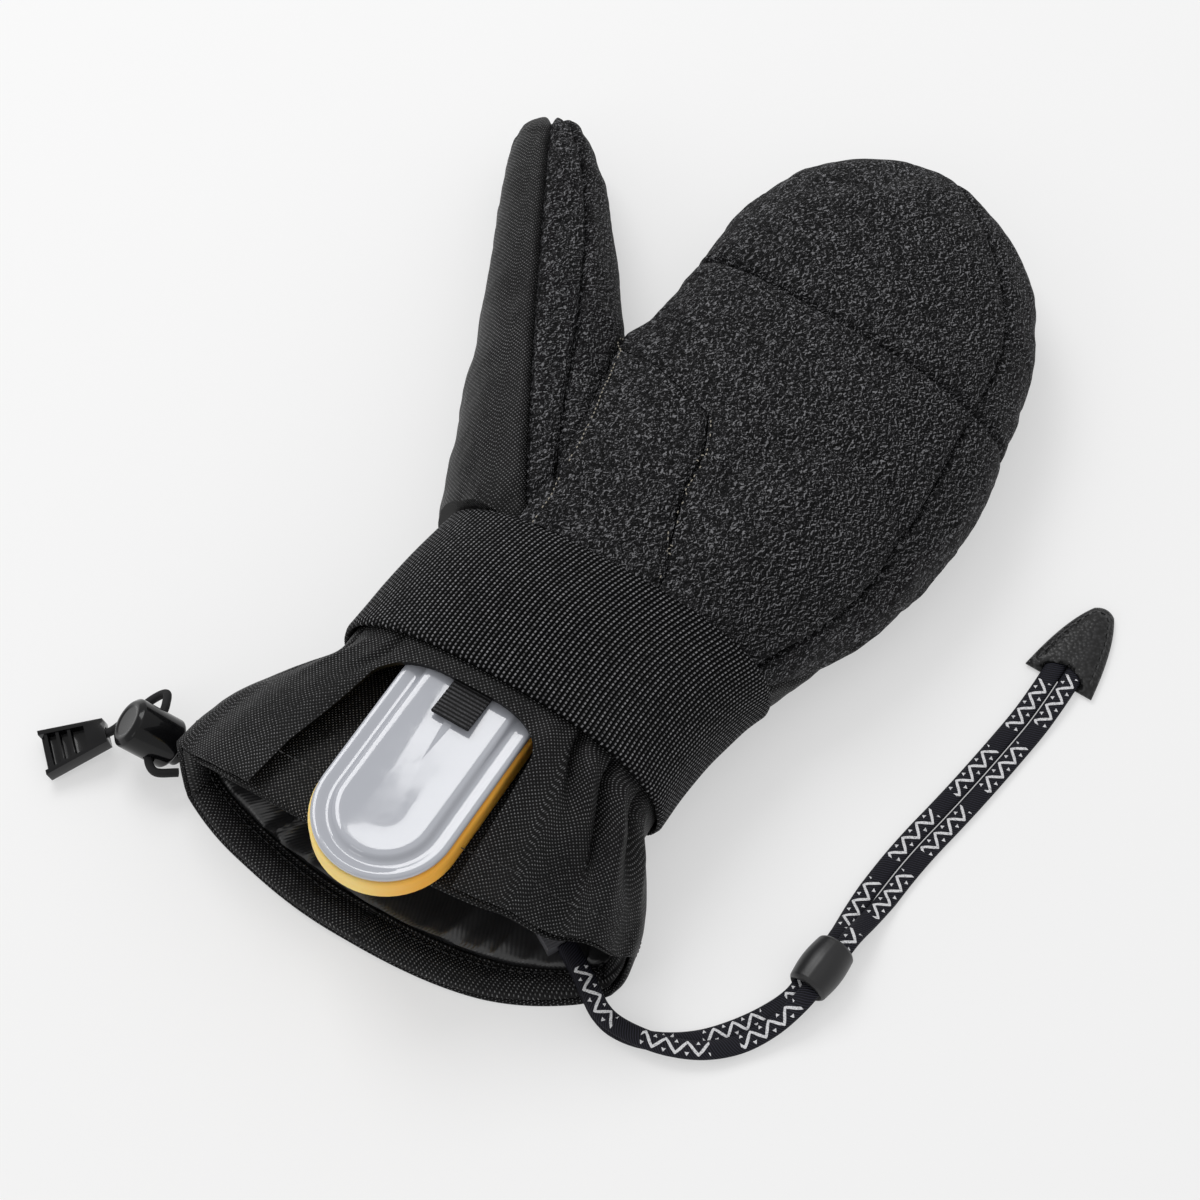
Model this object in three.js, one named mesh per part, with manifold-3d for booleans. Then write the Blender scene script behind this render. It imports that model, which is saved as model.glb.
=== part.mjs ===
// A left snow mitten with a removable wrist guard, lying palm up.
// Millimetres. +Y runs from the wrist to the fingertips, +X to the little finger, +Z up.
// The origin is on the underside of the wrist strap, at the middle of the wrist.
import * as THREE from 'three';
import { mergeVertices } from 'three/addons/utils/BufferGeometryUtils.js';
import Module from 'manifold-3d';

const wasm = await Module();
wasm.setup();

// Driving dimensions
const handLength = 218;      // wrist centre to fingertips
const palmWidth = 122;       // across the knuckles
const palmThick = 52;        // back of the hand to the palm, padded
const handStart = 4;         // where the hand panels begin, under the strap
const padWall = 5;           // shell cloth, fill and lining together
const seamGap = 0.3;
const seamDip = 1.6;         // how far a panel's edge sinks into its seam
const thumbReach = 147;      // thumb root to thumb tip
const thumbWidth = 60;
const thumbThick = 48;
const thumbLean = 30;        // degrees away from the fingers
const thumbRootX = -38;
const thumbRootY = 48;
const strapWidth = 51;
const strapThick = 2;
const strapHeight = 59.4;    // floor to the top of the strap
const wristWidth = 109;      // across the strap
const cuffStart = 3.2;       // where the cuff begins, under the strap
const cuffLength = 95;       // wrist centre to rim
const cuffWidth = 150;       // across the rim
const cuffHeight = 57;       // floor to the top of the cuff at the strap
const shellWall = 1.6;       // cuff cloth
const pocketWall = 1.2;      // cloth under the wrist guard
const hemWidth = 12;
const hemWall = 1.2;
const liningWall = 1;
const splintWidth = 44;
const splintLength = 98;
const splintX = -6;
const splintStartY = 2.5;    // the guard's upper end, under the strap
const foamThick = 8;
const plateThick = 2.2;
const tongueRise = 1.2;
const tongueMargin = 6;
const tabWidth = 12.5;
const tabLength = 22;
const tabThick = 1.1;
const lockRadius = 7.8;
const lockLength = 16.5;
const plungerRadius = 5.3;
const plungerTravel = 2.5;
const cordThick = 2.6;       // drawcord
const strandWidth = 5.8;     // flat leash strand
const strandThick = 2.4;
const beadRadius = 6.7;
const beadLength = 16;
const tipWidth = 22.6;
const tipLength = 30.5;
const tipThick = 4.6;

// Small pieces of arithmetic
const lerp = (a, b, t) => a + (b - a) * t;
const clamp = (x, lo, hi) => Math.min(hi, Math.max(lo, x));
const smooth = (x) => { const t = clamp(x, 0, 1); return t * t * (3 - 2 * t); };
const radians = (degrees) => (degrees * Math.PI) / 180;

// A smooth curve through one column of a table, read at a place between its rows.
function read(rows, column, at, key = 'at') {
  const last = rows.length - 1;
  if (at <= rows[0][key]) return rows[0][column];
  if (at >= rows[last][key]) return rows[last][column];
  let i = 0;
  while (at > rows[i + 1][key]) i += 1;
  const slope = (k) => {
    const lo = Math.max(0, k - 1);
    const hi = Math.min(last, k + 1);
    return (rows[hi][column] - rows[lo][column]) / (rows[hi][key] - rows[lo][key]);
  };
  const span = rows[i + 1][key] - rows[i][key];
  const t = (at - rows[i][key]) / span;
  const a = rows[i][column];
  const b = rows[i + 1][column];
  const rise = (t * t) * (3 - 2 * t);
  return a + (b - a) * rise
    + span * slope(i) * (t ** 3 - 2 * t * t + t)
    + span * slope(i + 1) * (t ** 3 - t * t);
}

// Hand sections: at is a share of handLength, left and right of palmWidth,
// top and low of palmThick, edge (the palm's outer seam) of the half width.
const handRows = [
  { at: 0.015, left: -0.350, right: 0.440, top: 0.95, low: -0.04, edge: 0.93 },
  { at: 0.118, left: -0.352, right: 0.482, top: 0.97, low: -0.04, edge: 0.92 },
  { at: 0.200, left: -0.355, right: 0.538, top: 1.00, low: -0.04, edge: 0.93 },
  { at: 0.300, left: -0.350, right: 0.612, top: 1.00, low: -0.04, edge: 0.90 },
  { at: 0.427, left: -0.338, right: 0.658, top: 0.98, low: -0.04, edge: 0.84 },
  { at: 0.545, left: -0.324, right: 0.658, top: 0.95, low: -0.04, edge: 0.80 },
  { at: 0.650, left: -0.308, right: 0.627, top: 0.91, low: -0.04, edge: 0.82 },
  { at: 0.750, left: -0.303, right: 0.586, top: 0.87, low: -0.04, edge: 0.83 },
  { at: 0.823, left: -0.287, right: 0.533, top: 0.83, low: -0.03, edge: 0.77 },
  { at: 0.882, left: -0.250, right: 0.475, top: 0.79, low: 0.02, edge: 0.66 },
  { at: 0.927, left: -0.197, right: 0.400, top: 0.74, low: 0.08, edge: 0.55 },
  { at: 0.964, left: -0.127, right: 0.310, top: 0.67, low: 0.17, edge: 0.48 },
  { at: 0.989, left: -0.041, right: 0.205, top: 0.58, low: 0.27, edge: 0.44 },
  { at: 0.998, left: 0.035, right: 0.120, top: 0.47, low: 0.36, edge: 0.40 },
  { at: 1.000, left: 0.074, right: 0.076, top: 0.411, low: 0.409, edge: 0.40 },
];
const handMiddle = 0.41;     // height of the widest line, share of palmThick
const handSquare = 0.84;     // 1 is an ellipse, less is squarer

// Thumb sections along its own line: at of thumbReach, left and right of thumbWidth,
// top and low of thumbThick, groove (between the two grip strips) of the half width.
const thumbRows = [
  { at: -0.30, left: -0.600, right: 0.500, top: 0.94, low: -0.04, groove: 0.34 },
  { at: -0.18, left: -0.520, right: 0.500, top: 0.97, low: -0.04, groove: 0.30 },
  { at: -0.10, left: -0.462, right: 0.505, top: 0.99, low: -0.04, groove: 0.27 },
  { at: 0.00, left: -0.433, right: 0.515, top: 1.00, low: -0.04, groove: 0.25 },
  { at: 0.10, left: -0.410, right: 0.515, top: 0.99, low: -0.04, groove: 0.26 },
  { at: 0.26, left: -0.360, right: 0.508, top: 0.94, low: -0.04, groove: 0.30 },
  { at: 0.37, left: -0.326, right: 0.490, top: 0.91, low: -0.04, groove: 0.36 },
  { at: 0.44, left: -0.312, right: 0.458, top: 0.88, low: -0.04, groove: 0.42 },
  { at: 0.62, left: -0.275, right: 0.405, top: 0.81, low: -0.04, groove: 0.53 },
  { at: 0.78, left: -0.238, right: 0.330, top: 0.73, low: 0.00, groove: 0.60 },
  { at: 0.88, left: -0.190, right: 0.262, top: 0.66, low: 0.06, groove: 0.60 },
  { at: 0.94, left: -0.130, right: 0.190, top: 0.60, low: 0.13, groove: 0.56 },
  { at: 0.98, left: -0.065, right: 0.110, top: 0.51, low: 0.24, groove: 0.50 },
  { at: 0.996, left: -0.015, right: 0.030, top: 0.43, low: 0.35, groove: 0.50 },
  { at: 1.000, left: 0.007, right: 0.009, top: 0.396, low: 0.394, groove: 0.50 },
];
const thumbMiddle = 0.395;

// Strap sections: at runs from the lower edge (0) to the upper edge (1),
// left and right are shares of wristWidth, top of strapHeight.
const strapRows = [
  { at: 0.00, left: -0.513, right: 0.494, top: 0.99 },
  { at: 0.25, left: -0.505, right: 0.494, top: 1.00 },
  { at: 0.55, left: -0.495, right: 0.507, top: 1.00 },
  { at: 0.80, left: -0.483, right: 0.530, top: 0.96 },
  { at: 1.00, left: -0.472, right: 0.560, top: 0.92 },
];
const strapMiddle = 0.37;

// Cuff sections: at runs from the hidden upper end (0) to the rim (1),
// left and right are shares of cuffWidth, top and base (the layer under the guard) of cuffHeight.
const cuffRows = [
  { at: 0.00, left: -0.354, right: 0.340, top: 0.99, base: 0.735 },
  { at: 0.33, left: -0.354, right: 0.340, top: 0.99, base: 0.735 },
  { at: 0.43, left: -0.385, right: 0.358, top: 0.965, base: 0.735 },
  { at: 0.56, left: -0.440, right: 0.388, top: 0.905, base: 0.735 },
  { at: 0.70, left: -0.487, right: 0.418, top: 0.840, base: 0.735 },
  { at: 0.85, left: -0.515, right: 0.442, top: 0.795, base: 0.730 },
  { at: 1.00, left: -0.527, right: 0.458, top: 0.770, base: 0.725 },
];
const cuffMiddle = 0.35;
const cuffSag = 0.50;        // how flat the cloth lies on the floor
const heldShare = 0.3;       // the stretch that the strap holds

// How far the rim reaches, as a share of cuffLength, by the angle round the cuff.
const rimRows = [
  { turn: 0, reach: 0.67 },
  { turn: 35, reach: 0.76 },
  { turn: 65, reach: 0.83 },
  { turn: 95, reach: 0.87 },
  { turn: 130, reach: 0.87 },
  { turn: 160, reach: 0.84 },
  { turn: 180, reach: 0.82 },
  { turn: 205, reach: 0.85 },
  { turn: 235, reach: 0.92 },
  { turn: 265, reach: 0.98 },
  { turn: 295, reach: 0.95 },
  { turn: 325, reach: 0.82 },
  { turn: 345, reach: 0.71 },
  { turn: 360, reach: 0.67 },
];

// Folds of the cuff cloth: turn is where each lies, wide its spread in degrees,
// deep a share of cuffHeight (minus sinks), from where along the cuff it starts.
const foldRows = [
  { turn: 46, wide: 7, deep: -0.055, from: 0.34 },
  { turn: 60, wide: 6, deep: 0.030, from: 0.40 },
  { turn: 30, wide: 8, deep: 0.035, from: 0.38 },
  { turn: 15, wide: 7, deep: -0.040, from: 0.42 },
  { turn: 150, wide: 8, deep: -0.030, from: 0.45 },
];

// A point on a rounded section with a flat underside.
// Sinking by inset keeps the same form, a little smaller.
function sectionPoint(size, turn, square) {
  const c = Math.cos(radians(turn));
  const s = Math.sin(radians(turn));
  const across = Math.sign(c) * Math.abs(c) ** square;
  const up = Math.sign(s) * Math.abs(s) ** square;
  const x = lerp(size.left, size.right, (across + 1) / 2);
  const z = up >= 0
    ? lerp(size.middle, size.top, up)
    : Math.max(size.floor, lerp(size.middle, size.low, -up));
  return [x, z];
}

// Room that the strap takes between the floor and what it wraps.
function strapLift(y) {
  const beyond = Math.abs(y) - strapWidth / 2;
  return (strapThick + seamGap) * (1 - smooth((beyond - 1) / 7));
}

// Point on the hand: at along it, turn round it (0 little finger, 90 palm, 180 thumb side).
function handPoint(at, turn, inset) {
  const halfWidth = palmWidth / 2;
  const shrink = 1 - inset / halfWidth;
  const shrinkTop = 1 - inset / (palmThick * (1 - handMiddle));
  const left = read(handRows, 'left', at) * palmWidth;
  const right = read(handRows, 'right', at) * palmWidth;
  const centre = (left + right) / 2;
  const middle = handMiddle * palmThick;
  const y = handStart + (at * handLength - handStart) * (1 - inset / handLength);
  const [x, z] = sectionPoint({
    left: lerp(centre, left, shrink),
    right: lerp(centre, right, shrink),
    middle,
    top: lerp(middle, read(handRows, 'top', at) * palmThick, shrinkTop),
    low: lerp(middle, read(handRows, 'low', at) * palmThick, shrinkTop),
    floor: strapLift(y) + inset,
  }, turn, handSquare);
  return [x, y, z];
}

const thumbAlong = [-Math.sin(radians(thumbLean)), Math.cos(radians(thumbLean))];
const thumbAcross = [Math.cos(radians(thumbLean)), Math.sin(radians(thumbLean))];

// Point on the thumb: at along its own line, turn round it (90 up, 180 outer side).
function thumbPoint(at, turn, inset) {
  const shrink = 1 - inset / (thumbWidth / 2);
  const shrinkTop = 1 - inset / (thumbThick * (1 - thumbMiddle));
  const left = read(thumbRows, 'left', at) * thumbWidth;
  const right = read(thumbRows, 'right', at) * thumbWidth;
  const centre = (left + right) / 2;
  const middle = thumbMiddle * thumbThick;
  const along = at * (thumbReach - inset);
  const line = (across) => [
    thumbRootX + along * thumbAlong[0] + across * thumbAcross[0],
    thumbRootY + along * thumbAlong[1] + across * thumbAcross[1],
  ];
  const y = line(centre)[1];
  const [across, z] = sectionPoint({
    left: lerp(centre, left, shrink),
    right: lerp(centre, right, shrink),
    middle,
    top: lerp(middle, read(thumbRows, 'top', at) * thumbThick, shrinkTop),
    low: lerp(middle, read(thumbRows, 'low', at) * thumbThick, shrinkTop),
    floor: inset,
  }, turn, handSquare);
  return [...line(across), Math.max(z, strapLift(y) + inset)];
}

// Size of the strap's section at y, inset by that much.
function strapSize(y, inset) {
  const at = clamp(y / strapWidth + 0.5, 0, 1);
  return {
    left: read(strapRows, 'left', at) * wristWidth + inset,
    right: read(strapRows, 'right', at) * wristWidth - inset,
    middle: strapMiddle * strapHeight,
    top: read(strapRows, 'top', at) * strapHeight - inset,
    low: inset - 2 * strapThick,
    floor: inset,
  };
}

// Point on the strap: at runs from its lower edge to its upper edge.
function strapPoint(at, turn, inset) {
  const y = lerp(-strapWidth / 2, strapWidth / 2, at);
  const [x, z] = sectionPoint(strapSize(y, inset), turn, handSquare);
  return [x, y, z];
}

// How much the folds lift the cuff's cloth.
function foldLift(at, turn) {
  let lift = 0;
  for (const fold of foldRows) {
    const near = (turn - fold.turn) / fold.wide;
    lift += fold.deep * Math.exp(-near * near) * smooth((at - fold.from) / 0.35);
  }
  return lift * cuffHeight;
}

// Point on the cuff: inside the strap it takes the strap's form, and below it flares to the rim.
function cuffPoint(at, turn, inset, column = 'top', topInset = inset) {
  const reach = read(rimRows, 'reach', ((turn % 360) + 360) % 360, 'turn') * cuffLength;
  const heldEnd = -strapWidth / 2 - 1;
  const y = at < heldShare
    ? lerp(cuffStart, heldEnd, at / heldShare)
    : lerp(heldEnd, -reach, (at - heldShare) / (1 - heldShare));
  const held = strapSize(y, strapThick + 2 * seamGap + inset);
  const top = read(cuffRows, column, at) * cuffHeight - topInset;
  const free = {
    left: read(cuffRows, 'left', at) * cuffWidth + inset,
    right: read(cuffRows, 'right', at) * cuffWidth - inset,
    middle: cuffMiddle * cuffHeight,
    top,
    low: inset - cuffSag * cuffHeight,
    floor: inset,
  };
  const loose = smooth((-y - strapWidth / 2) / 14);
  const size = {};
  for (const key of Object.keys(free)) size[key] = lerp(held[key], free[key], loose);
  if (column === 'base') size.top = top;
  const [x, z] = sectionPoint(size, turn, handSquare);
  return [x, y, z + foldLift(at, turn)];
}

// Turns a three.js geometry into a manifold solid and back.
function toSolid(geometry) {
  const bare = geometry.index ? geometry.toNonIndexed() : geometry.clone();
  bare.deleteAttribute('normal');
  bare.deleteAttribute('uv');
  const merged = mergeVertices(bare, 1e-4);
  return new wasm.Manifold(new wasm.Mesh({
    numProp: 3,
    vertProperties: new Float32Array(merged.attributes.position.array),
    triVerts: new Uint32Array(merged.index.array),
  }));
}

function toGeometry(solid) {
  const mesh = solid.getMesh();
  const geometry = new THREE.BufferGeometry();
  geometry.setAttribute('position', new THREE.BufferAttribute(new Float32Array(mesh.vertProperties), 3));
  geometry.setIndex(new THREE.BufferAttribute(new Uint32Array(mesh.triVerts), 1));
  geometry.computeVertexNormals();
  return geometry;
}

// Makes a geometry from points and triangles, with its faces pointing out.
function closedGeometry(points, triangles) {
  let volume = 0;
  const a = new THREE.Vector3();
  const b = new THREE.Vector3();
  const c = new THREE.Vector3();
  for (const [i, j, k] of triangles) {
    volume += a.fromArray(points[i]).dot(b.fromArray(points[j]).cross(c.fromArray(points[k])));
  }
  const order = volume < 0 ? triangles.map(([i, j, k]) => [i, k, j]) : triangles;
  const geometry = new THREE.BufferGeometry();
  geometry.setAttribute('position', new THREE.Float32BufferAttribute(points.flat(), 3));
  geometry.setIndex(order.flat());
  geometry.computeVertexNormals();
  return geometry;
}

// Even stations from 0 to 1, with one more just inside each end.
function stations(count, rim) {
  const list = [0, rim];
  for (let i = 1; i < count; i += 1) list.push(lerp(rim, 1 - rim, i / count));
  list.push(1 - rim, 1);
  return list;
}

// A closed patch of cloth: outer and inner skins over a grid, joined round the edge.
function patchGeometry(outer, inner, columns, rows) {
  const points = [];
  const triangles = [];
  const wide = columns.length;
  for (const skin of [outer, inner]) {
    for (const v of rows) for (const u of columns) points.push(skin(u, v));
  }
  const under = wide * rows.length;
  const quad = (a, b, c, d) => triangles.push([a, b, c], [a, c, d]);
  for (let j = 0; j + 1 < rows.length; j += 1) {
    for (let i = 0; i + 1 < wide; i += 1) {
      const a = j * wide + i;
      quad(a, a + 1, a + wide + 1, a + wide);
      quad(under + a, under + a + wide, under + a + wide + 1, under + a + 1);
    }
  }
  const lastRow = (rows.length - 1) * wide;
  for (let i = 0; i + 1 < wide; i += 1) {
    quad(i, under + i, under + i + 1, i + 1);
    quad(lastRow + i, lastRow + i + 1, under + lastRow + i + 1, under + lastRow + i);
  }
  for (let j = 0; j + 1 < rows.length; j += 1) {
    const a = j * wide;
    const b = a + wide - 1;
    quad(a, a + wide, under + a + wide, under + a);
    quad(b, under + b, under + b + wide, b + wide);
  }
  return closedGeometry(points, triangles);
}

// A closed sleeve: outer and inner skins all the way round, open at both ends.
function sleeveGeometry(outer, inner, around, rows) {
  const points = [];
  const triangles = [];
  for (const skin of [outer, inner]) {
    for (const v of rows) for (let i = 0; i < around; i += 1) points.push(skin((360 * i) / around, v));
  }
  const under = around * rows.length;
  const quad = (a, b, c, d) => triangles.push([a, b, c], [a, c, d]);
  const lastRow = (rows.length - 1) * around;
  for (let i = 0; i < around; i += 1) {
    const n = (i + 1) % around;
    for (let j = 0; j + 1 < rows.length; j += 1) {
      const a = j * around;
      quad(a + i, a + n, a + around + n, a + around + i);
      quad(under + a + i, under + a + around + i, under + a + around + n, under + a + n);
    }
    quad(i, under + i, under + n, n);
    quad(lastRow + i, lastRow + n, under + lastRow + n, under + lastRow + i);
  }
  return closedGeometry(points, triangles);
}

// A closed form with no hollow, from rings of points.
function loftGeometry(rings) {
  const points = [];
  const triangles = [];
  const around = rings[0].length;
  for (const ring of rings) points.push(...ring);
  const centre = (ring) => ring.reduce((sum, p) => sum.map((x, k) => x + p[k] / ring.length), [0, 0, 0]);
  points.push(centre(rings[0]), centre(rings[rings.length - 1]));
  const first = points.length - 2;
  const last = points.length - 1;
  const lastRow = (rings.length - 1) * around;
  for (let i = 0; i < around; i += 1) {
    const n = (i + 1) % around;
    for (let j = 0; j + 1 < rings.length; j += 1) {
      const a = j * around;
      triangles.push([a + i, a + n, a + around + n], [a + i, a + around + n, a + around + i]);
    }
    triangles.push([first, n, i], [last, lastRow + i, lastRow + n]);
  }
  return closedGeometry(points, triangles);
}

const ringOf = (point, at, inset, around) => (
  Array.from({ length: around }, (_, i) => point(at, (360 * i) / around, inset))
);

// Rows crowd towards a rounded tip.
const towardsTip = (from, to, v) => {
  const start = Math.asin(clamp(from, -1, 1));
  const end = Math.asin(clamp(to, -1, 1));
  return Math.sin(lerp(start, end, v));
};

// A padded panel between two lines round the form and two lines along it.
// With room it is grown by the seam's gap and made deeper, to cut its place in a neighbour.
function panelGeometry(panel) {
  const { point, reach, radius, columns, rows, turnFrom, turnTo, atFrom, atTo, room } = panel;
  const edge = room ? -1.5 * seamGap : seamGap / 2;
  const wall = panel.wall + (room ? 1.5 : 0);
  const place = (u, v) => {
    const at = towardsTip(atFrom(u) + edge / reach, atTo(u) - edge / reach, v);
    const gap = ((edge / Math.max(3, radius(at))) * 180) / Math.PI;
    return [at, lerp(turnFrom(at) + gap, turnTo(at) - gap, u)];
  };
  const dip = (u, v) => {
    if (room) return -seamDip;
    const near = Math.min(u, 1 - u, v, 1 - v);
    return near < 1e-6 ? seamDip : (panel.lift ? -panel.lift(...place(u, v)) : 0);
  };
  const outer = (u, v) => point(...place(u, v), dip(u, v));
  const inner = (u, v) => point(...place(u, v), wall);
  return patchGeometry(outer, inner, stations(columns, 0.05), stations(rows, 0.04));
}

// Where a point seen from above at x lies round the hand's palm side.
function palmTurn(at, x) {
  const left = read(handRows, 'left', at) * palmWidth;
  const right = read(handRows, 'right', at) * palmWidth;
  const across = clamp((2 * x - left - right) / (right - left), -1, 1);
  return (Math.acos(Math.sign(across) * Math.abs(across) ** (1 / handSquare)) * 180) / Math.PI;
}

const handRadius = (at) => (read(handRows, 'right', at) - read(handRows, 'left', at)) * palmWidth / 2;
const thumbRadius = (at) => (read(thumbRows, 'right', at) - read(thumbRows, 'left', at)) * thumbWidth / 2;

// Seam of the patch at the thumb's root: x is a share of palmWidth, at of handLength.
const patchSeamRows = [
  { at: 0.015, x: 0.165 },
  { at: 0.145, x: 0.164 },
  { at: 0.177, x: 0.139 },
  { at: 0.255, x: 0.090 },
  { at: 0.332, x: 0.066 },
  { at: 0.394, x: 0.016 },
];

// Upper seam of that patch, by the share across it towards the thumb side.
const patchTopRows = [
  { u: 0.00, at: 0.392 },
  { u: 0.12, at: 0.412 },
  { u: 0.32, at: 0.443 },
  { u: 0.60, at: 0.452 },
  { u: 1.00, at: 0.452 },
];
const gussetSplit = 0.62;    // cross seam of the side strip
const backSeamOuter = 204;   // seam under the thumb side
const fullTurn = 360;        // degrees
const handEnd = 0.9985;

// Seam below the fingertips: at is a share of handLength, by the share across the palm.
const tipSeamRows = [
  { u: 0.00, at: 0.620 },
  { u: 0.30, at: 0.634 },
  { u: 0.55, at: 0.655 },
  { u: 0.75, at: 0.668 },
  { u: 0.90, at: 0.650 },
  { u: 1.00, at: 0.625 },
];

const edgeTurn = (at) => (
  (Math.acos(read(handRows, 'edge', at) ** (1 / handSquare)) * 180) / Math.PI
);
const underTurn = (at) => lerp(8, -24, smooth((at - 0.1) / 0.18));

const handPanel = (lines) => panelGeometry({
  point: handPoint, reach: handLength, radius: handRadius, wall: padWall, ...lines,
});

// The heel of the palm swells under a curved crease.
function heelLift(at, turn) {
  const [x, y] = handPoint(at, turn, 0);
  const dx = (x - 0.385 * palmWidth) / (0.20 * palmWidth);
  const dy = (y - 0.29 * handLength) / (0.13 * handLength);
  return 3.2 * smooth(1.35 - Math.hypot(dx, dy));
}

const palmPanel = (room) => handPanel({
  columns: 10, rows: 11, room,
  turnFrom: edgeTurn,
  turnTo: () => backSeamOuter,
  atFrom: () => 0.0182,
  atTo: (u) => read(tipSeamRows, 'at', u, 'u'),
  lift: heelLift,
});

const thenarPatch = (room) => handPanel({
  columns: 5, rows: 7, room,
  turnFrom: (at) => palmTurn(at, read(patchSeamRows, 'x', at) * palmWidth),
  turnTo: () => backSeamOuter,
  atFrom: () => 0.0182,
  atTo: (u) => read(patchTopRows, 'at', u, 'u'),
});

const fingertipPanel = (room) => handPanel({
  columns: 9, rows: 6, room,
  turnFrom: edgeTurn,
  turnTo: () => backSeamOuter,
  atFrom: (u) => read(tipSeamRows, 'at', u, 'u'),
  atTo: () => handEnd,
});

const sideGusset = (room) => handPanel({
  columns: 2, rows: 10, room,
  turnFrom: underTurn,
  turnTo: edgeTurn,
  atFrom: () => 0.0182,
  atTo: () => gussetSplit,
});

const sideGussetTip = (room) => handPanel({
  columns: 2, rows: 7, room,
  turnFrom: underTurn,
  turnTo: edgeTurn,
  atFrom: () => gussetSplit,
  atTo: () => handEnd,
});

const backShell = (room) => handPanel({
  columns: 7, rows: 10, room,
  turnFrom: () => backSeamOuter,
  turnTo: (at) => fullTurn + underTurn(at),
  atFrom: () => 0.0182,
  atTo: () => handEnd,
});

// Thumb strips, each between two lines along the thumb.
const thumbEnd = 0.9975;
const ridgeTurn = (at) => {
  const left = read(thumbRows, 'left', at);
  const right = read(thumbRows, 'right', at);
  const across = clamp((0.03 - left - right) / (right - left), -1, 1);
  return (Math.acos(across) * 180) / Math.PI;
};
const grooveTurn = (at) => (Math.acos(read(thumbRows, 'groove', at) ** (1 / handSquare)) * 180) / Math.PI;
const outerTurn = 190;
const innerTurn = -24;

const thumbStrip = (columns, turnFrom, turnTo) => (room) => panelGeometry({
  point: thumbPoint, reach: thumbReach, radius: thumbRadius, wall: padWall,
  columns, rows: 10, turnFrom, turnTo, room,
  atFrom: () => thumbRows[0].at,
  atTo: () => thumbEnd,
});

// Whole forms, used to fit the hand and the thumb to each other.
function wholeForm(point, rows, end, inset) {
  const rings = [];
  const count = 14;
  for (let i = 0; i <= count; i += 1) {
    rings.push(ringOf(point, towardsTip(rows[0].at, end, i / count), inset, 24));
  }
  return toSolid(loftGeometry(rings));
}

const cuffSides = 36;
const strapStations = [0, 0.5, 1];

// Everything that would stand into the strap is cut back to it.
function strapRoom() {
  const rows = [-0.012, ...strapStations.slice(1, -1), 1.012];
  const outer = (turn, at) => {
    const [x, y, z] = strapPoint(at, turn, strapThick + seamGap);
    const out = 15;
    return [x + out * Math.cos(radians(turn)), y, z + out * Math.sin(radians(turn))];
  };
  const inner = (turn, at) => strapPoint(at, turn, strapThick + seamGap);
  return toSolid(sleeveGeometry(outer, inner, cuffSides, rows));
}

function boxSolid(low, high) {
  const size = high.map((h, k) => h - low[k]);
  const box = new THREE.BoxGeometry(...size);
  box.translate(...high.map((h, k) => (h + low[k]) / 2));
  return toSolid(box);
}

const handCavity = wholeForm(handPoint, handRows, handEnd, padWall);
const thumbSpace = wholeForm(thumbPoint, thumbRows, thumbEnd, -3 * seamGap);
const strapSpace = strapRoom();
const farOut = 1.6 * palmWidth;
const belowHand = boxSolid([-farOut, -farOut, -palmThick], [farOut, handStart, 3 * palmThick]);

// Keeps the largest piece of a cut solid, so that no crumb is left loose.
function mainPiece(solid) {
  const pieces = solid.decompose();
  return pieces.reduce((best, piece) => (piece.volume() > best.volume() ? piece : best));
}

// Panels are sewn edge to edge: each is cut back from those before it, then from what it meets.
function sewPanels(panels, ...spaces) {
  const pieces = {};
  const rooms = [];
  for (const [name, panel] of Object.entries(panels)) {
    let solid = toSolid(panel(false));
    for (const space of [...spaces, ...rooms]) solid = solid.subtract(space);
    pieces[name] = toGeometry(mainPiece(solid));
    rooms.push(toSolid(panel(true)));
  }
  return pieces;
}

// Strap and cuff
const wristStrap = () => sleeveGeometry(
  (turn, v) => strapPoint(v, turn, 0),
  (turn, v) => strapPoint(v, turn, strapThick),
  cuffSides, strapStations,
);

const hemShare = (hemWidth / cuffLength) * 1.18;
const cuffStations = [0, heldShare, 0.4, 0.52, 0.64, 0.76, 1 - hemShare, 1];

// The mouth of the guard's pocket, seen from above: an arch that runs out over the rim.
function pocketMouth() {
  const half = splintWidth / 2;
  const shape = new THREE.Shape();
  const right = splintX + half + 4;
  const left = splintX - half - 2;
  const archY = -strapWidth / 2 - 5.5;
  shape.moveTo(right - 1, -130);
  shape.lineTo(right, archY - 9);
  shape.quadraticCurveTo(right - 2, archY - 1, splintX + 0.45 * half, archY);
  shape.lineTo(splintX - 0.45 * half, archY);
  shape.quadraticCurveTo(left + 1, archY - 1, left - 4, archY - 8);
  shape.lineTo(left - 14, archY - 36);
  shape.lineTo(left - 26, -130);
  shape.closePath();
  const prism = new THREE.ExtrudeGeometry(shape, { depth: 60, bevelEnabled: false, curveSegments: 6 });
  prism.translate(0, 0, cuffMiddle * cuffHeight + 6);
  return toSolid(prism);
}

const gauntlet = () => toGeometry(mainPiece(toSolid(sleeveGeometry(
  (turn, v) => cuffPoint(v, turn, 0),
  (turn, v) => cuffPoint(v, turn, shellWall),
  cuffSides, cuffStations,
)).subtract(pocketMouth())));

const underShell = shellWall + seamGap;
const liningSlack = 1.2;     // the lining hangs a little clear of the pocket
const underPocket = underShell + pocketWall + liningSlack;

const pocketFrom = 50;       // degrees round the cuff
const pocketTo = 140;
const pocketBase = () => patchGeometry(
  (u, v) => cuffPoint(v, lerp(pocketFrom, pocketTo, u), underShell, 'base'),
  (u, v) => cuffPoint(v, lerp(pocketFrom, pocketTo, u), underShell + pocketWall, 'base'),
  Array.from({ length: 10 }, (_, i) => i / 9), cuffStations,
);

const innerCuff = (at, turn, depth) => (
  cuffPoint(at, turn, underShell + liningSlack / 2 + depth, 'base', underPocket + depth)
);

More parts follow.
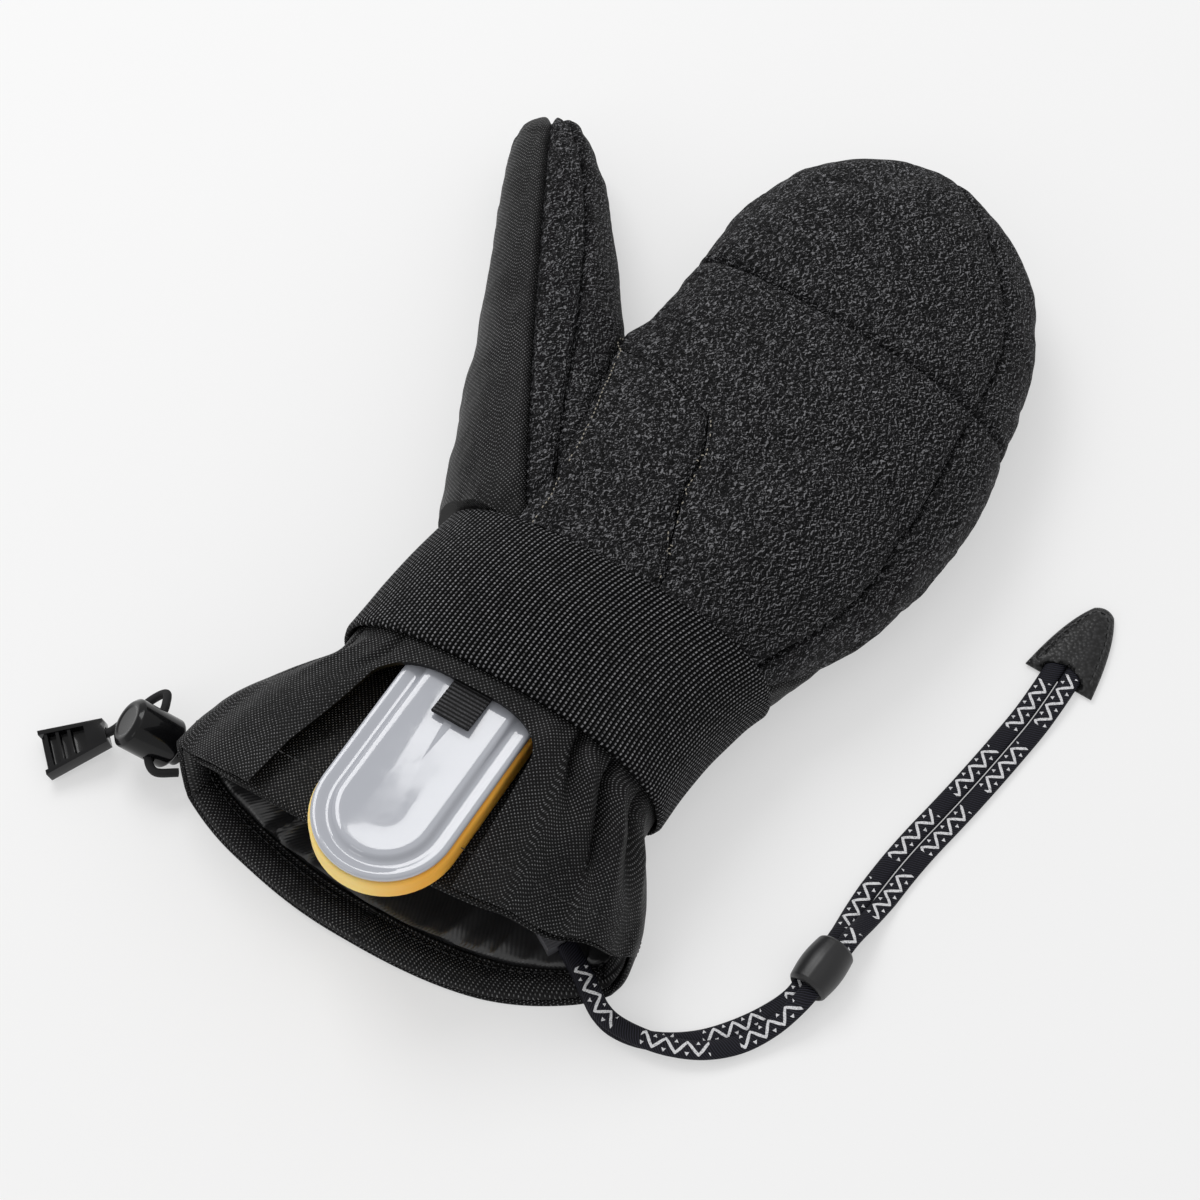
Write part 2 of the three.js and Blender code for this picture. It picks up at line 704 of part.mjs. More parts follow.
const cuffHem = () => sleeveGeometry(
  (turn, v) => innerCuff(lerp(1 - hemShare, 1, v), turn, 0),
  (turn, v) => innerCuff(lerp(1 - hemShare, 1, v), turn, hemWall),
  cuffSides, [0, 1],
);

const liningEnd = 1 - hemShare - seamGap / cuffLength;
const cuffLining = () => sleeveGeometry(
  (turn, v) => innerCuff(v * liningEnd, turn, 0),
  (turn, v) => innerCuff(v * liningEnd, turn, liningWall),
  cuffSides, [0, 0.34, 0.48, 0.64, 0.82, 1],
);

// Wrist guard: a stadium outline with one round end, extruded upwards.
function splintShape(half, endY, startY) {
  const shape = new THREE.Shape();
  shape.moveTo(half, startY);
  shape.lineTo(half, endY + half);
  shape.absarc(0, endY + half, half, 0, Math.PI, true);
  shape.lineTo(-half, startY);
  shape.closePath();
  return shape;
}

const guardBase = cuffHeight * 0.735 - underShell + seamGap + 0.2;
const splintEndY = splintStartY - splintLength;

function slab(shape, depth, z) {
  const geometry = new THREE.ExtrudeGeometry(shape, { depth, bevelEnabled: false, curveSegments: 14 });
  geometry.translate(splintX, 0, z);
  return geometry;
}

const splintFoam = () => slab(splintShape(splintWidth / 2, splintEndY, splintStartY), foamThick, guardBase);
const plateBase = guardBase + foamThick + seamGap;

function splintPlate() {
  const half = splintWidth / 2 - 0.8;
  const plate = slab(splintShape(half, splintEndY + 0.8, splintStartY), plateThick, plateBase);
  const tongue = slab(
    splintShape(half - tongueMargin, splintEndY + 0.8 + tongueMargin, splintStartY),
    plateThick + tongueRise, plateBase,
  );
  return toGeometry(toSolid(plate).add(toSolid(tongue)));
}

const tabBase = plateBase + plateThick + tongueRise + seamGap;
function splintTab() {
  const endY = -strapWidth / 2 - 17;
  const box = new THREE.BoxGeometry(tabWidth, tabLength, tabThick, 1, 4, 1);
  box.translate(splintX + 0.5, endY + tabLength / 2, tabBase + tabThick / 2);
  return box;
}

function lathe(profile, sides) {
  const geometry = new THREE.LatheGeometry(profile.map(([r, z]) => new THREE.Vector2(r, z)), sides);
  geometry.rotateX(Math.PI / 2);
  return geometry;
}

// Cord lock at the cuff's thumb-side corner. Its own Z is the barrel's axis, closed end up.
const lockAxis = new THREE.Vector3(-0.717, -0.264, 0.645).normalize();
const lockFoot = new THREE.Vector3(-85.2, -73.4, 8.1);
const cordLine = new THREE.Vector3(-lockAxis.y, lockAxis.x, 0).normalize();
const lockFrame = new THREE.Matrix4().makeBasis(
  cordLine, new THREE.Vector3().crossVectors(lockAxis, cordLine), lockAxis,
).setPosition(lockFoot);
const lockBore = plungerRadius + 0.4;
const lockTop = 3;           // wall at the closed end
const cordHeight = 6;        // cord hole above the barrel's open end
const cordHole = cordThick / 2 + 0.4;
const plungerOut = 0.6;      // how much still shows when it is pressed in

function crossHole(length, middle) {
  const hole = new THREE.CylinderGeometry(cordHole, cordHole, lockRadius * 3, 10);
  hole.rotateZ(Math.PI / 2);
  hole.scale(1, 1, length / (2 * cordHole));
  hole.translate(0, 0, middle);
  return toSolid(hole);
}

function lockBarrel() {
  const bevel = 0.8;
  const depth = lockLength - lockTop;
  const body = lathe([
    [lockBore, 0], [lockRadius - bevel, 0], [lockRadius, bevel], [lockRadius, lockLength - bevel],
    [lockRadius - bevel, lockLength], [0, lockLength], [0, depth], [lockBore, depth], [lockBore, 0],
  ], 18);
  const hole = crossHole(2 * cordHole, cordHeight);
  return toGeometry(toSolid(body).subtract(hole)).applyMatrix4(lockFrame);
}

function lockPlunger() {
  const top = cordHeight + cordHole + 1.5;
  const foot = -plungerTravel - plungerOut;
  const bevel = 0.6;
  const body = lathe([
    [0, foot], [plungerRadius - bevel, foot], [plungerRadius, foot + bevel], [plungerRadius, top], [0, top],
  ], 14);
  const slot = crossHole(2 * cordHole + plungerTravel, cordHeight - plungerTravel / 2);
  return toGeometry(toSolid(body).subtract(slot)).applyMatrix4(lockFrame);
}

// Finger clip on the drawcord's end: a floor between two rails, with ribs across.
const clipLength = 20;
const clipWide = 15;         // at its free end
const clipNeck = 8;
const clipRail = 1.3;
const clipDeep = 4.6;
const clipFloor = 1.6;
const clipRibs = 3;
const clipFrame = new THREE.Matrix4().makeBasis(
  new THREE.Vector3(-0.655, -0.72, -0.23).normalize(),
  new THREE.Vector3(0.74, -0.673, 0).normalize(),
  new THREE.Vector3(-0.155, -0.17, 0.973).normalize(),
).setPosition(new THREE.Vector3(-103.5, -80, 6.2));

function clipSlab(fromX, toX, halfFrom, halfTo, low, high) {
  const shape = new THREE.Shape();
  shape.moveTo(fromX, -halfFrom);
  shape.lineTo(toX, -halfTo);
  shape.lineTo(toX, halfTo);
  shape.lineTo(fromX, halfFrom);
  shape.closePath();
  const geometry = new THREE.ExtrudeGeometry(shape, { depth: high - low, bevelEnabled: false });
  geometry.translate(0, 0, low);
  return toSolid(geometry);
}

function cordClip() {
  const half = (x) => lerp(clipNeck, clipWide, x / clipLength) / 2;
  const waist = 0.3 * clipLength;
  let solid = clipSlab(0, clipLength, half(0), half(clipLength), 0, clipDeep);
  solid = solid.subtract(clipSlab(
    waist, clipLength + 1, half(waist) - clipRail, half(clipLength) - clipRail, clipFloor, clipDeep + 1,
  ));
  for (let i = 0; i < clipRibs; i += 1) {
    const x = lerp(waist, clipLength, (i + 1.2) / (clipRibs + 0.9));
    solid = solid.add(clipSlab(x, x + 1, half(x) - 0.5, half(x) - 0.5, 0.5, clipDeep - 0.6));
  }
  const cordEnd = new THREE.CylinderGeometry(cordHole, cordHole, 8, 10);
  cordEnd.rotateZ(Math.PI / 2);
  cordEnd.translate(0, 0, clipDeep / 2);
  return toGeometry(solid.subtract(toSolid(cordEnd))).applyMatrix4(clipFrame);
}

// A cord with an oval section along a smooth line of points.
function cordGeometry(points, across, high, sides, steps) {
  const outline = Array.from({ length: sides }, (_, i) => {
    const turn = (2 * Math.PI * i) / sides;
    return new THREE.Vector2((high / 2) * Math.cos(turn), (across / 2) * Math.sin(turn));
  });
  return new THREE.ExtrudeGeometry(new THREE.Shape(outline), {
    steps,
    bevelEnabled: false,
    extrudePath: new THREE.CatmullRomCurve3(points.map((p) => new THREE.Vector3(...p))),
  });
}

// Drawcord route: from the clip, round behind the barrel, through it, to the rim's corner.
const lockPoint = (x, y, z) => new THREE.Vector3(x, y, z).applyMatrix4(lockFrame).toArray();
const clipPoint = (x, y, z) => new THREE.Vector3(x, y, z).applyMatrix4(clipFrame).toArray();
const throughLock = [-11, -8, -4, 0, 4, 8].map((x) => lockPoint(x, 0, cordHeight));
const drawcordRoute = [
  clipPoint(3, 0, clipDeep / 2),
  clipPoint(-1.5, 0, clipDeep / 2),
  lockPoint(-7, -12.5, 10.5),
  lockPoint(-13.5, -7, 7.5),
  lockPoint(-14.8, -1.5, 6.2),
  ...throughLock,
  [-82.9, -84.3, 11.2],
  [-77.9, -80.3, 9.4],
];

const drawcord = () => cordGeometry(drawcordRoute, cordThick, cordThick, 8, 24);

// Leash route: the middle line between the two strands, from the cuff over the floor to the tip.
// The last number spreads them: 0 is one on top of the other, 1 is side by side.
const leashRoute = [
  [47.2, -65.6, 6.9, 0],
  [51.8, -68.2, 6.9, 0],
  [56.8, -71.4, 6.9, 0],
  [61.4, -74.6, 6.8, 0],
  [65.8, -76.9, 4.9, 0],
  [71.0, -77.8, 3.4, 0],
  [78.4, -77.0, 2.9, 0.1],
  [86.8, -74.2, 2.8, 0.4],
  [95.0, -69.0, 2.3, 0.7],
  [101.8, -61.8, 2.1, 0.85],
  [107.2, -53.4, 3.4, 0.75],
  [110.9, -45.2, 6.4, 0.55],
  [111.9, -37.0, 6.7, 0.55],
  [112.6, -29.0, 6.7, 0.55],
  [113.1, -20.6, 6.2, 0.6],
  [113.3, -11.6, 3.2, 0.85],
  [113.8, -2.6, 1.7, 1],
  [114.8, 8.4, 1.4, 1],
  [116.3, 18.8, 1.4, 1],
  [118.3, 29.6, 1.4, 1],
  [120.1, 40.0, 1.4, 1],
  [121.7, 50.4, 1.4, 1],
  [123.1, 60.4, 1.4, 1],
  [124.4, 70.6, 1.6, 1],
  [125.1, 80.6, 2.2, 1],
  [125.3, 88.6, 2.3, 1],
  [125.5, 95.2, 2.3, 1],
];

const strandGap = 0.3;
const strandAside = (strandWidth + strandGap) / 2;
const strandAbove = (strandThick + 2 * strandGap) / 2;

// One strand: the route moved aside, or up and down, so that the two lie against each other.
function leashStrand(side) {
  const line = new THREE.CatmullRomCurve3(leashRoute.map((p) => new THREE.Vector3(...p)));
  const count = leashRoute.length - 1;
  const points = leashRoute.map(([x, y, z, spread], i) => {
    const along = line.getTangent(i / count);
    const aside = (side * strandAside * spread) / Math.hypot(along.x, along.y);
    return [x + aside * along.y, y - aside * along.x, z + side * strandAbove * Math.sqrt(1 - spread ** 2)];
  });
  return cordGeometry(points, strandWidth, strandThick, 8, 30);
}

// Frame with its X along the route at the middle of two of its points.
function routeFrame(from, to) {
  const a = new THREE.Vector3(...leashRoute[from].slice(0, 3));
  const b = new THREE.Vector3(...leashRoute[to].slice(0, 3));
  const along = b.clone().sub(a).setZ(0).normalize();
  const side = new THREE.Vector3(-along.y, along.x, 0);
  return new THREE.Matrix4().makeBasis(along, side, new THREE.Vector3(0, 0, 1))
    .setPosition(a.clone().lerp(b, 0.5));
}

const leashSlot = (length) => (
  new THREE.BoxGeometry(length, 2 * strandWidth + 5 * strandGap, strandThick + 4 * strandGap)
);
const beadShare = 0.46;      // how far along the route's points the bead sits
const beadPoint = Math.round(beadShare * (leashRoute.length - 1));

// Bead that both strands run through, by an oval hole.
function leashBead() {
  const end = beadRadius * 0.89;
  const half = beadLength / 2;
  const lip = 0.8;
  const profile = [[0, -half], [end - lip, -half], [end, lip - half]];
  for (let i = 1; i < 6; i += 1) {
    const x = lerp(lip - half, half - lip, i / 6);
    profile.push([lerp(end, beadRadius, Math.sin((Math.PI * i) / 6)), x]);
  }
  profile.push([end, half - lip], [end - lip, half], [0, half]);
  const body = lathe(profile, 16);
  body.rotateY(Math.PI / 2);
  const spread = leashRoute[beadPoint][3];
  const holeWide = strandAside * spread + strandWidth / 2 + 2.4 * strandGap;
  const holeHigh = strandAbove * Math.sqrt(1 - spread ** 2) + strandThick / 2 + 4 * strandGap;
  const hole = new THREE.CylinderGeometry(1, 1, beadLength * 2, 16);
  hole.rotateZ(Math.PI / 2);
  hole.scale(1, holeWide, holeHigh);
  const frame = routeFrame(beadPoint, beadPoint + 1);
  return toGeometry(toSolid(body).subtract(toSolid(hole))).applyMatrix4(frame);
}

// Leather tip: a rounded three-sided leaf, open at its base for the strands.
function leashTip() {
  const half = tipWidth / 2;
  const shape = new THREE.Shape();
  shape.moveTo(0, -half + 1);
  shape.quadraticCurveTo(0.2, -half, 1.5, -half);
  shape.quadraticCurveTo(tipLength * 0.62, -half * 0.72, tipLength * 0.93, -half * 0.3);
  shape.quadraticCurveTo(tipLength, 0, tipLength * 0.93, half * 0.3);
  shape.quadraticCurveTo(tipLength * 0.62, half * 0.72, 1.5, half);
  shape.quadraticCurveTo(0.2, half, 0, half - 1);
  shape.closePath();
  const bevel = 0.9;
  const leaf = new THREE.ExtrudeGeometry(shape, {
    depth: tipThick - 2 * bevel, bevelThickness: bevel, bevelSize: bevel, bevelOffset: -bevel,
    bevelSegments: 2, curveSegments: 5,
  });
  const route = new THREE.Vector3(...leashRoute[leashRoute.length - 1].slice(0, 3));
  leaf.translate(0, 0, bevel - route.z);
  const slotDepth = 8;
  const slot = leashSlot(2 * slotDepth);
  const frame = routeFrame(leashRoute.length - 2, leashRoute.length - 1);
  const along = new THREE.Vector3().setFromMatrixColumn(frame, 0);
  frame.setPosition(route.addScaledVector(along, 0.4 - slotDepth));
  return toGeometry(toSolid(leaf).subtract(toSolid(slot))).applyMatrix4(frame);
}

// Tab sewn to the lining, where both strands begin.
function leashAnchor() {
  const tabDeep = 8;
  const frame = routeFrame(0, 1);
  frame.setPosition(new THREE.Vector3(...leashRoute[0].slice(0, 3)));
  const tab = new THREE.BoxGeometry(tabDeep, 2 * strandWidth, 2 * strandThick + strandGap);
  tab.translate(-tabDeep / 2 - strandGap, 0, 0);
  return tab.applyMatrix4(frame);
}

const group = new THREE.Group();

function add(name, geometry, color, roughness, metalness = 0) {
  const material = new THREE.MeshStandardMaterial({ color, roughness, metalness });
  const mesh = new THREE.Mesh(geometry, material);
  mesh.name = name;
  group.add(mesh);
  return mesh;
}

const gripCloth = 0x2a2a2c;
const wovenCloth = 0x17171a;

const handPieces = sewPanels({
  thenar_patch: thenarPatch,
  side_gusset_tip: sideGussetTip,
  side_gusset: sideGusset,
  fingertip_panel: fingertipPanel,
  palm_panel: palmPanel,
  back_shell: backShell,
}, thumbSpace, strapSpace);
for (const [name, geometry] of Object.entries(handPieces)) {
  const woven = name === 'back_shell';
  add(name, geometry, woven ? wovenCloth : gripCloth, woven ? 0.75 : 0.9);
}

const thumbPieces = sewPanels({
  thumb_woven_strip: thumbStrip(4, ridgeTurn, () => outerTurn),
  thumb_front_strip: thumbStrip(2, grooveTurn, ridgeTurn),
  thumb_inner_strip: thumbStrip(3, () => innerTurn, grooveTurn),
  thumb_under_strip: thumbStrip(4, () => outerTurn, () => fullTurn + innerTurn),
}, handCavity, strapSpace, belowHand);
for (const [name, geometry] of Object.entries(thumbPieces)) {
  const woven = name === 'thumb_woven_strip';
  add(name, geometry, woven ? wovenCloth : gripCloth, woven ? 0.75 : 0.9);
}

add('wrist_strap', wristStrap(), 0x161618, 0.8);
add('gauntlet', gauntlet(), wovenCloth, 0.75);
add('pocket_base', pocketBase(), wovenCloth, 0.75);
add('cuff_hem', cuffHem(), wovenCloth, 0.75);
add('cuff_lining', cuffLining(), 0x111113, 0.5);
add('splint_foam', splintFoam(), 0xf5b94a, 0.85);
add('splint_plate', splintPlate(), 0xb9bdc8, 0.2);
add('splint_tab', splintTab(), 0x141416, 0.8);
add('cord_lock_barrel', lockBarrel(), 0x0c0c0e, 0.2);
add('cord_lock_plunger', lockPlunger(), 0x0c0c0e, 0.2);
add('drawcord', drawcord(), 0x0e0e10, 0.7);
add('cord_end_clip', cordClip(), 0x0c0c0e, 0.25);
add('leash_anchor_tab', leashAnchor(), 0x4a4a4e, 0.6);
add('leash_strand_a', leashStrand(1), 0x121218, 0.75);
add('leash_strand_b', leashStrand(-1), 0x121218, 0.75);
add('leash_bead', leashBead(), 0x1b1b1d, 0.5);
add('leash_tip', leashTip(), 0x1d1d1f, 0.55);

export default group;
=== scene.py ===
import math
import bpy
import bmesh
import numpy as np
from mathutils import Vector, Matrix
from mathutils.bvhtree import BVHTree


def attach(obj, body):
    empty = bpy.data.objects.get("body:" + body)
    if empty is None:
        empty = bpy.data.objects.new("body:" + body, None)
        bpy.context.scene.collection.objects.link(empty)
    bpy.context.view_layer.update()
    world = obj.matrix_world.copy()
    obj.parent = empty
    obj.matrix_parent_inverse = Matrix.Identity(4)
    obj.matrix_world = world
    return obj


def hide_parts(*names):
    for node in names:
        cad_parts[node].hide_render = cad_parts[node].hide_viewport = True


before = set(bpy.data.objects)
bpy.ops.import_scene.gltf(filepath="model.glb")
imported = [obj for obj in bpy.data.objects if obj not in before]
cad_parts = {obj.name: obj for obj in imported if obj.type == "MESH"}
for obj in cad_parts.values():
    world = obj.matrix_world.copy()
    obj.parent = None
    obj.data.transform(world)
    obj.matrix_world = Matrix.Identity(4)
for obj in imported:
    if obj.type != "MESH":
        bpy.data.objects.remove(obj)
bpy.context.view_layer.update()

mm = 0.001
bodyName = "mitten"
buttonBody = "lock_button"
seamGap = 0.3  # room between two pieces, in millimetres

# camera and light

view = {"azimuth": 32, "elevation": 60, "lens": 92, "sensor": 36, "target": (-0.007, 0.0392, 0.0),
        "distance": 0.9378}
lights = [  # name, direction it comes from, distance, size, power
    ("softboxKey", (-0.75, 0.42, 1.15), 1.5, 0.70, 7.2),
    ("softboxTop", (0.10, 0.10, 1.0), 1.7, 1.6, 1.4),
    ("softboxFront", (-0.35, -1.0, 0.75), 1.6, 0.5, 1.0),
]
room = {"sky": 0.62, "floorReach": 4.0, "floorTone": 0.50, "floorGlow": 0.448, "floorRoughness": 0.9}


def addNew(name, data):
    made = bpy.data.objects.new(name, data)
    bpy.context.scene.collection.objects.link(made)
    return made


def makeStudio():
    a, e = math.radians(view["azimuth"]), math.radians(view["elevation"])
    back = Vector((math.sin(a) * math.cos(e), -math.cos(a) * math.cos(e), math.sin(e)))
    camera = addNew("camera", bpy.data.cameras.new("camera"))
    camera.data.lens, camera.data.sensor_width = view["lens"], view["sensor"]
    camera.location = Vector(view["target"]) + back * view["distance"]
    camera.rotation_euler = back.to_track_quat("Z", "Y").to_euler()
    bpy.context.scene.camera = camera
    for name, direction, distance, size, power in lights:
        lamp = addNew(name, bpy.data.lights.new(name, "AREA"))
        lamp.data.size, lamp.data.energy = size, power
        way = Vector(direction).normalized()
        lamp.location = way * distance
        lamp.rotation_euler = way.to_track_quat("Z", "Y").to_euler()
    world = bpy.data.worlds.new("paleRoom")
    world.use_nodes = True
    sky = world.node_tree.nodes["Background"]
    sky.inputs["Color"].default_value = (1, 1, 1, 1)
    sky.inputs["Strength"].default_value = room["sky"]
    bpy.context.scene.world = world
    bpy.context.scene.view_settings.view_transform = "Standard"
    far = room["floorReach"]
    mesh = bpy.data.meshes.new("floor")
    mesh.from_pydata([(-far, -far, 0), (far, -far, 0), (far, far, 0), (-far, far, 0)], [], [(0, 1, 2, 3)])
    paint = bpy.data.materials.new("paleFloor")
    paint.use_nodes = True
    shader = paint.node_tree.nodes["Principled BSDF"]
    shader.inputs["Base Color"].default_value = (*[room["floorTone"]] * 3, 1)
    shader.inputs["Emission Color"].default_value = (1, 1, 1, 1)
    shader.inputs["Emission Strength"].default_value = room["floorGlow"]  # a lit table: its shadows stay pale
    shader.inputs["Roughness"].default_value = room["floorRoughness"]
    shader.inputs["Specular IOR Level"].default_value = 0.0
    mesh.materials.append(paint)
    addNew("floor", mesh)


makeStudio()
print("studio is ready")

# finishes


class Finish:
    def __init__(self, name, color, roughness, specular=0.5, **sockets):
        self.material = bpy.data.materials.new(name)
        self.material.use_nodes = True
        self.tree = self.material.node_tree
        self.shader = self.tree.nodes["Principled BSDF"]
        self.set(self.shader, {"Base Color": color, "Roughness": roughness, "Specular IOR Level": specular,
                               **sockets})

    def set(self, node, values):
        for key, value in values.items():
            if isinstance(value, bpy.types.NodeSocket):
                self.tree.links.new(value, node.inputs[key])
            elif isinstance(value, (tuple, list)) and len(value) == 3 and node.inputs[key].type == "RGBA":
                node.inputs[key].default_value = (*value, 1)
            else:
                node.inputs[key].default_value = value

    def node(self, kind, values=None, **props):
        made = self.tree.nodes.new("ShaderNode" + kind)
        for key, value in props.items():
            setattr(made, key, value)
        self.set(made, values or {})
        return made

    def math(self, operation, *values):
        return self.node("Math", dict(enumerate(values)), operation=operation).outputs[0]

    def times(self, a, b):
        return self.math("MULTIPLY", a, b)

    def wave(self, along, length):
        return self.math("SINE", self.times(along, 2 * math.pi / length))

    def ribs(self, along, pitch):
        return self.math("ABSOLUTE", self.math("SINE", self.times(along, math.pi / pitch)))

    def ramp(self, factor, low, high):
        made = self.node("MapRange", {"Value": factor, "From Min": low, "From Max": high},
                         interpolation_type="SMOOTHSTEP")
        return made.outputs["Result"]

    def mix(self, factor, a, b):
        made = self.node("Mix", data_type="RGBA")
        self.set(made, {0: factor, 6: a, 7: b})
        return made.outputs[2]

    def place(self, axis=None):
        where = self.node("TexCoord").outputs["Object"]
        return where if axis is None else self.node("SeparateXYZ", {0: where}).outputs[axis]

    def noise(self, scale, detail, **values):
        made = self.node("TexNoise", {"Vector": self.place(), "Scale": scale, "Detail": detail, **values})
        return made.outputs["Fac"]

    def patches(self, scale, detail, gain, base):  # soft random patches, from base to base + gain
        return self.math("MULTIPLY_ADD", self.ramp(self.noise(scale, detail), 0.3, 0.7), gain, base)

    def cells(self, scale, feature="F1"):
        made = self.node("TexVoronoi", {"Vector": self.place(), "Scale": scale}, feature=feature)
        return made.outputs["Distance"]

    def uv(self):
        split = self.node("SeparateXYZ", {0: self.node("TexCoord").outputs["UV"]})
        return split.outputs[0], split.outputs[1]

    def paint(self, color):
        self.set(self.shader, {"Base Color": color})

    def bump(self, height, distance, strength):
        made = self.node("Bump", {"Height": height, "Distance": distance, "Strength": strength})
        self.tree.links.new(made.outputs[0], self.shader.inputs["Normal"])


# dark is the painted shade and ridge the painted highlight of the grip cloth's relief; mid is the cloth between
gripLook = {"grain": 820, "toLight": (-0.00028, 0.00006, 0.00018), "dark": (0.0008, 0.0008, 0.0010),
            "mid": (0.0082, 0.0080, 0.0088), "ridge": (0.22, 0.22, 0.23), "depth": 0.0006}


def gripCloth():  # crinkled relief with painted light: the side of each worm-like ridge that faces the key light is painted paler as a highlight, the other side darker as shade
    look = Finish("gripCloth", gripLook["mid"], 0.7, 0.10)
    here = look.place()
    there = look.node("VectorMath", {0: here, 1: gripLook["toLight"]}, operation="ADD").outputs[0]
    relief = {"Roughness": 0.6, "Distortion": 0.7}
    height, aside = (look.noise(gripLook["grain"], 2.5, Vector=at, **relief) for at in (here, there))
    facesLight = look.math("SUBTRACT", height, aside)
    # painted shade: the side of each ridge turned away from the light is painted dark
    under = look.mix(look.ramp(facesLight, -0.09, 0.015), gripLook["dark"], gripLook["mid"])
    # painted highlight: the side turned to the light is painted towards the pale ridge colour, in soft random
    # patches
    paintedHighlight = look.times(look.ramp(facesLight, 0.02, 0.17), look.patches(170, 2, 0.15, 0.78))
    look.paint(look.mix(paintedHighlight, under, gripLook["ridge"]))
    look.bump(height, gripLook["depth"], 0.9)
    return look.material


# thread is the painted sheen colour of the thread crowns; the cloth itself is dark
wovenLook = {"pitch": 0.00138, "dark": (0.0014, 0.0014, 0.0016), "thread": (0.23, 0.23, 0.235), "depth": 0.0003}


def wovenCloth():
    look = Finish("wovenShell", wovenLook["dark"], 0.5, 0.2)
    u, v = look.uv()
    over = look.times(look.wave(u, wovenLook["pitch"]), look.wave(v, wovenLook["pitch"]))
    # painted sheen: the crowns of the weave are painted pale on the black cloth, in random patches
    paintedHighlight = look.times(look.ramp(over, 0.30, 1.0), look.patches(1100, 2, 0.8, look.patches(45, 3, 0.35, 0.1)))
    look.paint(look.mix(paintedHighlight, wovenLook["dark"], wovenLook["thread"]))
    look.bump(look.ramp(look.math("ABSOLUTE", over), 0.15, 0.95), wovenLook["depth"], 0.9)
    return look.material


# thread is the painted sheen colour of the pick crests; the webbing itself is dark
webbingLook = {"pick": 0.00118, "dark": (0.0008, 0.0008, 0.0010), "thread": (0.27, 0.27, 0.28), "depth": 0.0002}


def webbingCloth():
    look = Finish("webbingCloth", webbingLook["dark"], 0.5, 0.08)
    u, v = look.uv()  # u counts the ribs, v runs along them
    picks = look.math("DIVIDE", v, webbingLook["pick"])
    alongRib = look.math("MULTIPLY_ADD", look.math("FLOOR", u), 0.5, picks)  # every other rib is half a pick on
    pick = look.ribs(alongRib, 1)
    crest = look.math("SINE", look.times(look.math("FRACT", u), math.pi))
    # painted sheen: the crest of each pick on each rib is painted pale on the black webbing
    paintedHighlight = look.times(look.ramp(pick, 0.30, 0.95), look.ramp(crest, 0.76, 1.0))
    paintedHighlight = look.times(paintedHighlight, look.patches(700, 3, 0.7, 0.3))
    look.paint(look.mix(paintedHighlight, webbingLook["dark"], webbingLook["thread"]))
    look.bump(look.math("ADD", pick, look.noise(3000, 2)), webbingLook["depth"], 0.6)
    return look.material


satinLook = {"color": (0.018, 0.018, 0.019), "roughness": 0.30, "gloss": 0.8, "twill": 0.0012, "depth": 0.00004}


def satinCloth():
    look = Finish("satinLining", satinLook["color"], satinLook["roughness"], satinLook["gloss"])
    u, v = look.uv()
    twill = look.wave(look.math("MULTIPLY_ADD", v, 0.35, u), satinLook["twill"])
    look.bump(look.math("ADD", twill, look.noise(500, 2)), satinLook["depth"], 0.6)
    return look.material


def plainFinish(name, color, roughness, grain, depth=0.0001):
    look = Finish(name, color, roughness)
    look.bump(look.noise(grain, 3), depth, 0.5)
    return look.material


tapeLook = {"dark": (0.002, 0.002, 0.0022), "ribHighlight": (0.075, 0.075, 0.08), "pitch": 0.00125, "start": -0.0425}


def ribbedTape():  # ribs run across the tape, one after another along y
    look = Finish("guardTape", tapeLook["dark"], 0.65, 0.25)
    rib = look.ribs(look.math("SUBTRACT", look.place(1), tapeLook["start"]), tapeLook["pitch"])
    fibre = look.ramp(look.noise(2200, 2), 0.3, 0.7)
    # painted highlight: the crest of each rib is painted pale on the black tape
    paintedHighlight = look.times(look.ramp(rib, 0.45, 1.0), look.math("MULTIPLY_ADD", fibre, 0.7, 0.3))
    look.paint(look.mix(paintedHighlight, tapeLook["dark"], tapeLook["ribHighlight"]))
    look.bump(look.math("ADD", rib, fibre), 0.0002, 0.6)
    return look.material


def glossPlastic(name, color, roughness, coat=1.0):
    look = Finish(name, color, roughness, 0.5 * coat, **{"Coat Weight": coat, "Coat Roughness": 0.03})
    wear = look.ramp(look.noise(160, 4), 0.35, 0.75)
    look.set(look.shader, {"Roughness": look.math("MULTIPLY_ADD", wear, 0.08, roughness)})
    look.bump(look.noise(120, 2), 0.0002, 0.15)
    return look.material


# pale is the painted light on the side towards the key light, deep the painted shade towards the far (+x) side
foamLook = {"base": (0.98, 0.58, 0.12), "pale": (1.0, 0.72, 0.24), "deep": (0.98, 0.46, 0.05),
            "from": -0.0015, "to": 0.0185, "radius": (0.004, 0.002, 0.0006)}


def foamFinish():
    look = Finish("guardFoam", foamLook["base"], 0.75,
                  **{"Subsurface Weight": 0.3, "Subsurface Radius": foamLook["radius"]})
    # painted light and shade: the foam is painted pale yellow towards the key light and deeper orange towards +x,
    # standing in for light through the foam and its shaded side
    across = look.math("ADD", look.place(0), look.times(look.noise(60, 2), 0.006))
    paintedShade = look.ramp(across, foamLook["from"], foamLook["to"])
    look.paint(look.mix(paintedShade, foamLook["pale"], foamLook["deep"]))
    look.bump(look.cells(1400), 0.0002, 0.4)
    return look.material


leashLook = {"motif": 0.0031, "group": 9.0, "gap": 0.30, "line": 0.20, "thread": 0.0008,
             "black": (0.003, 0.003, 0.005), "sheen": (0.022, 0.022, 0.034), "white": (0.82, 0.82, 0.84)}


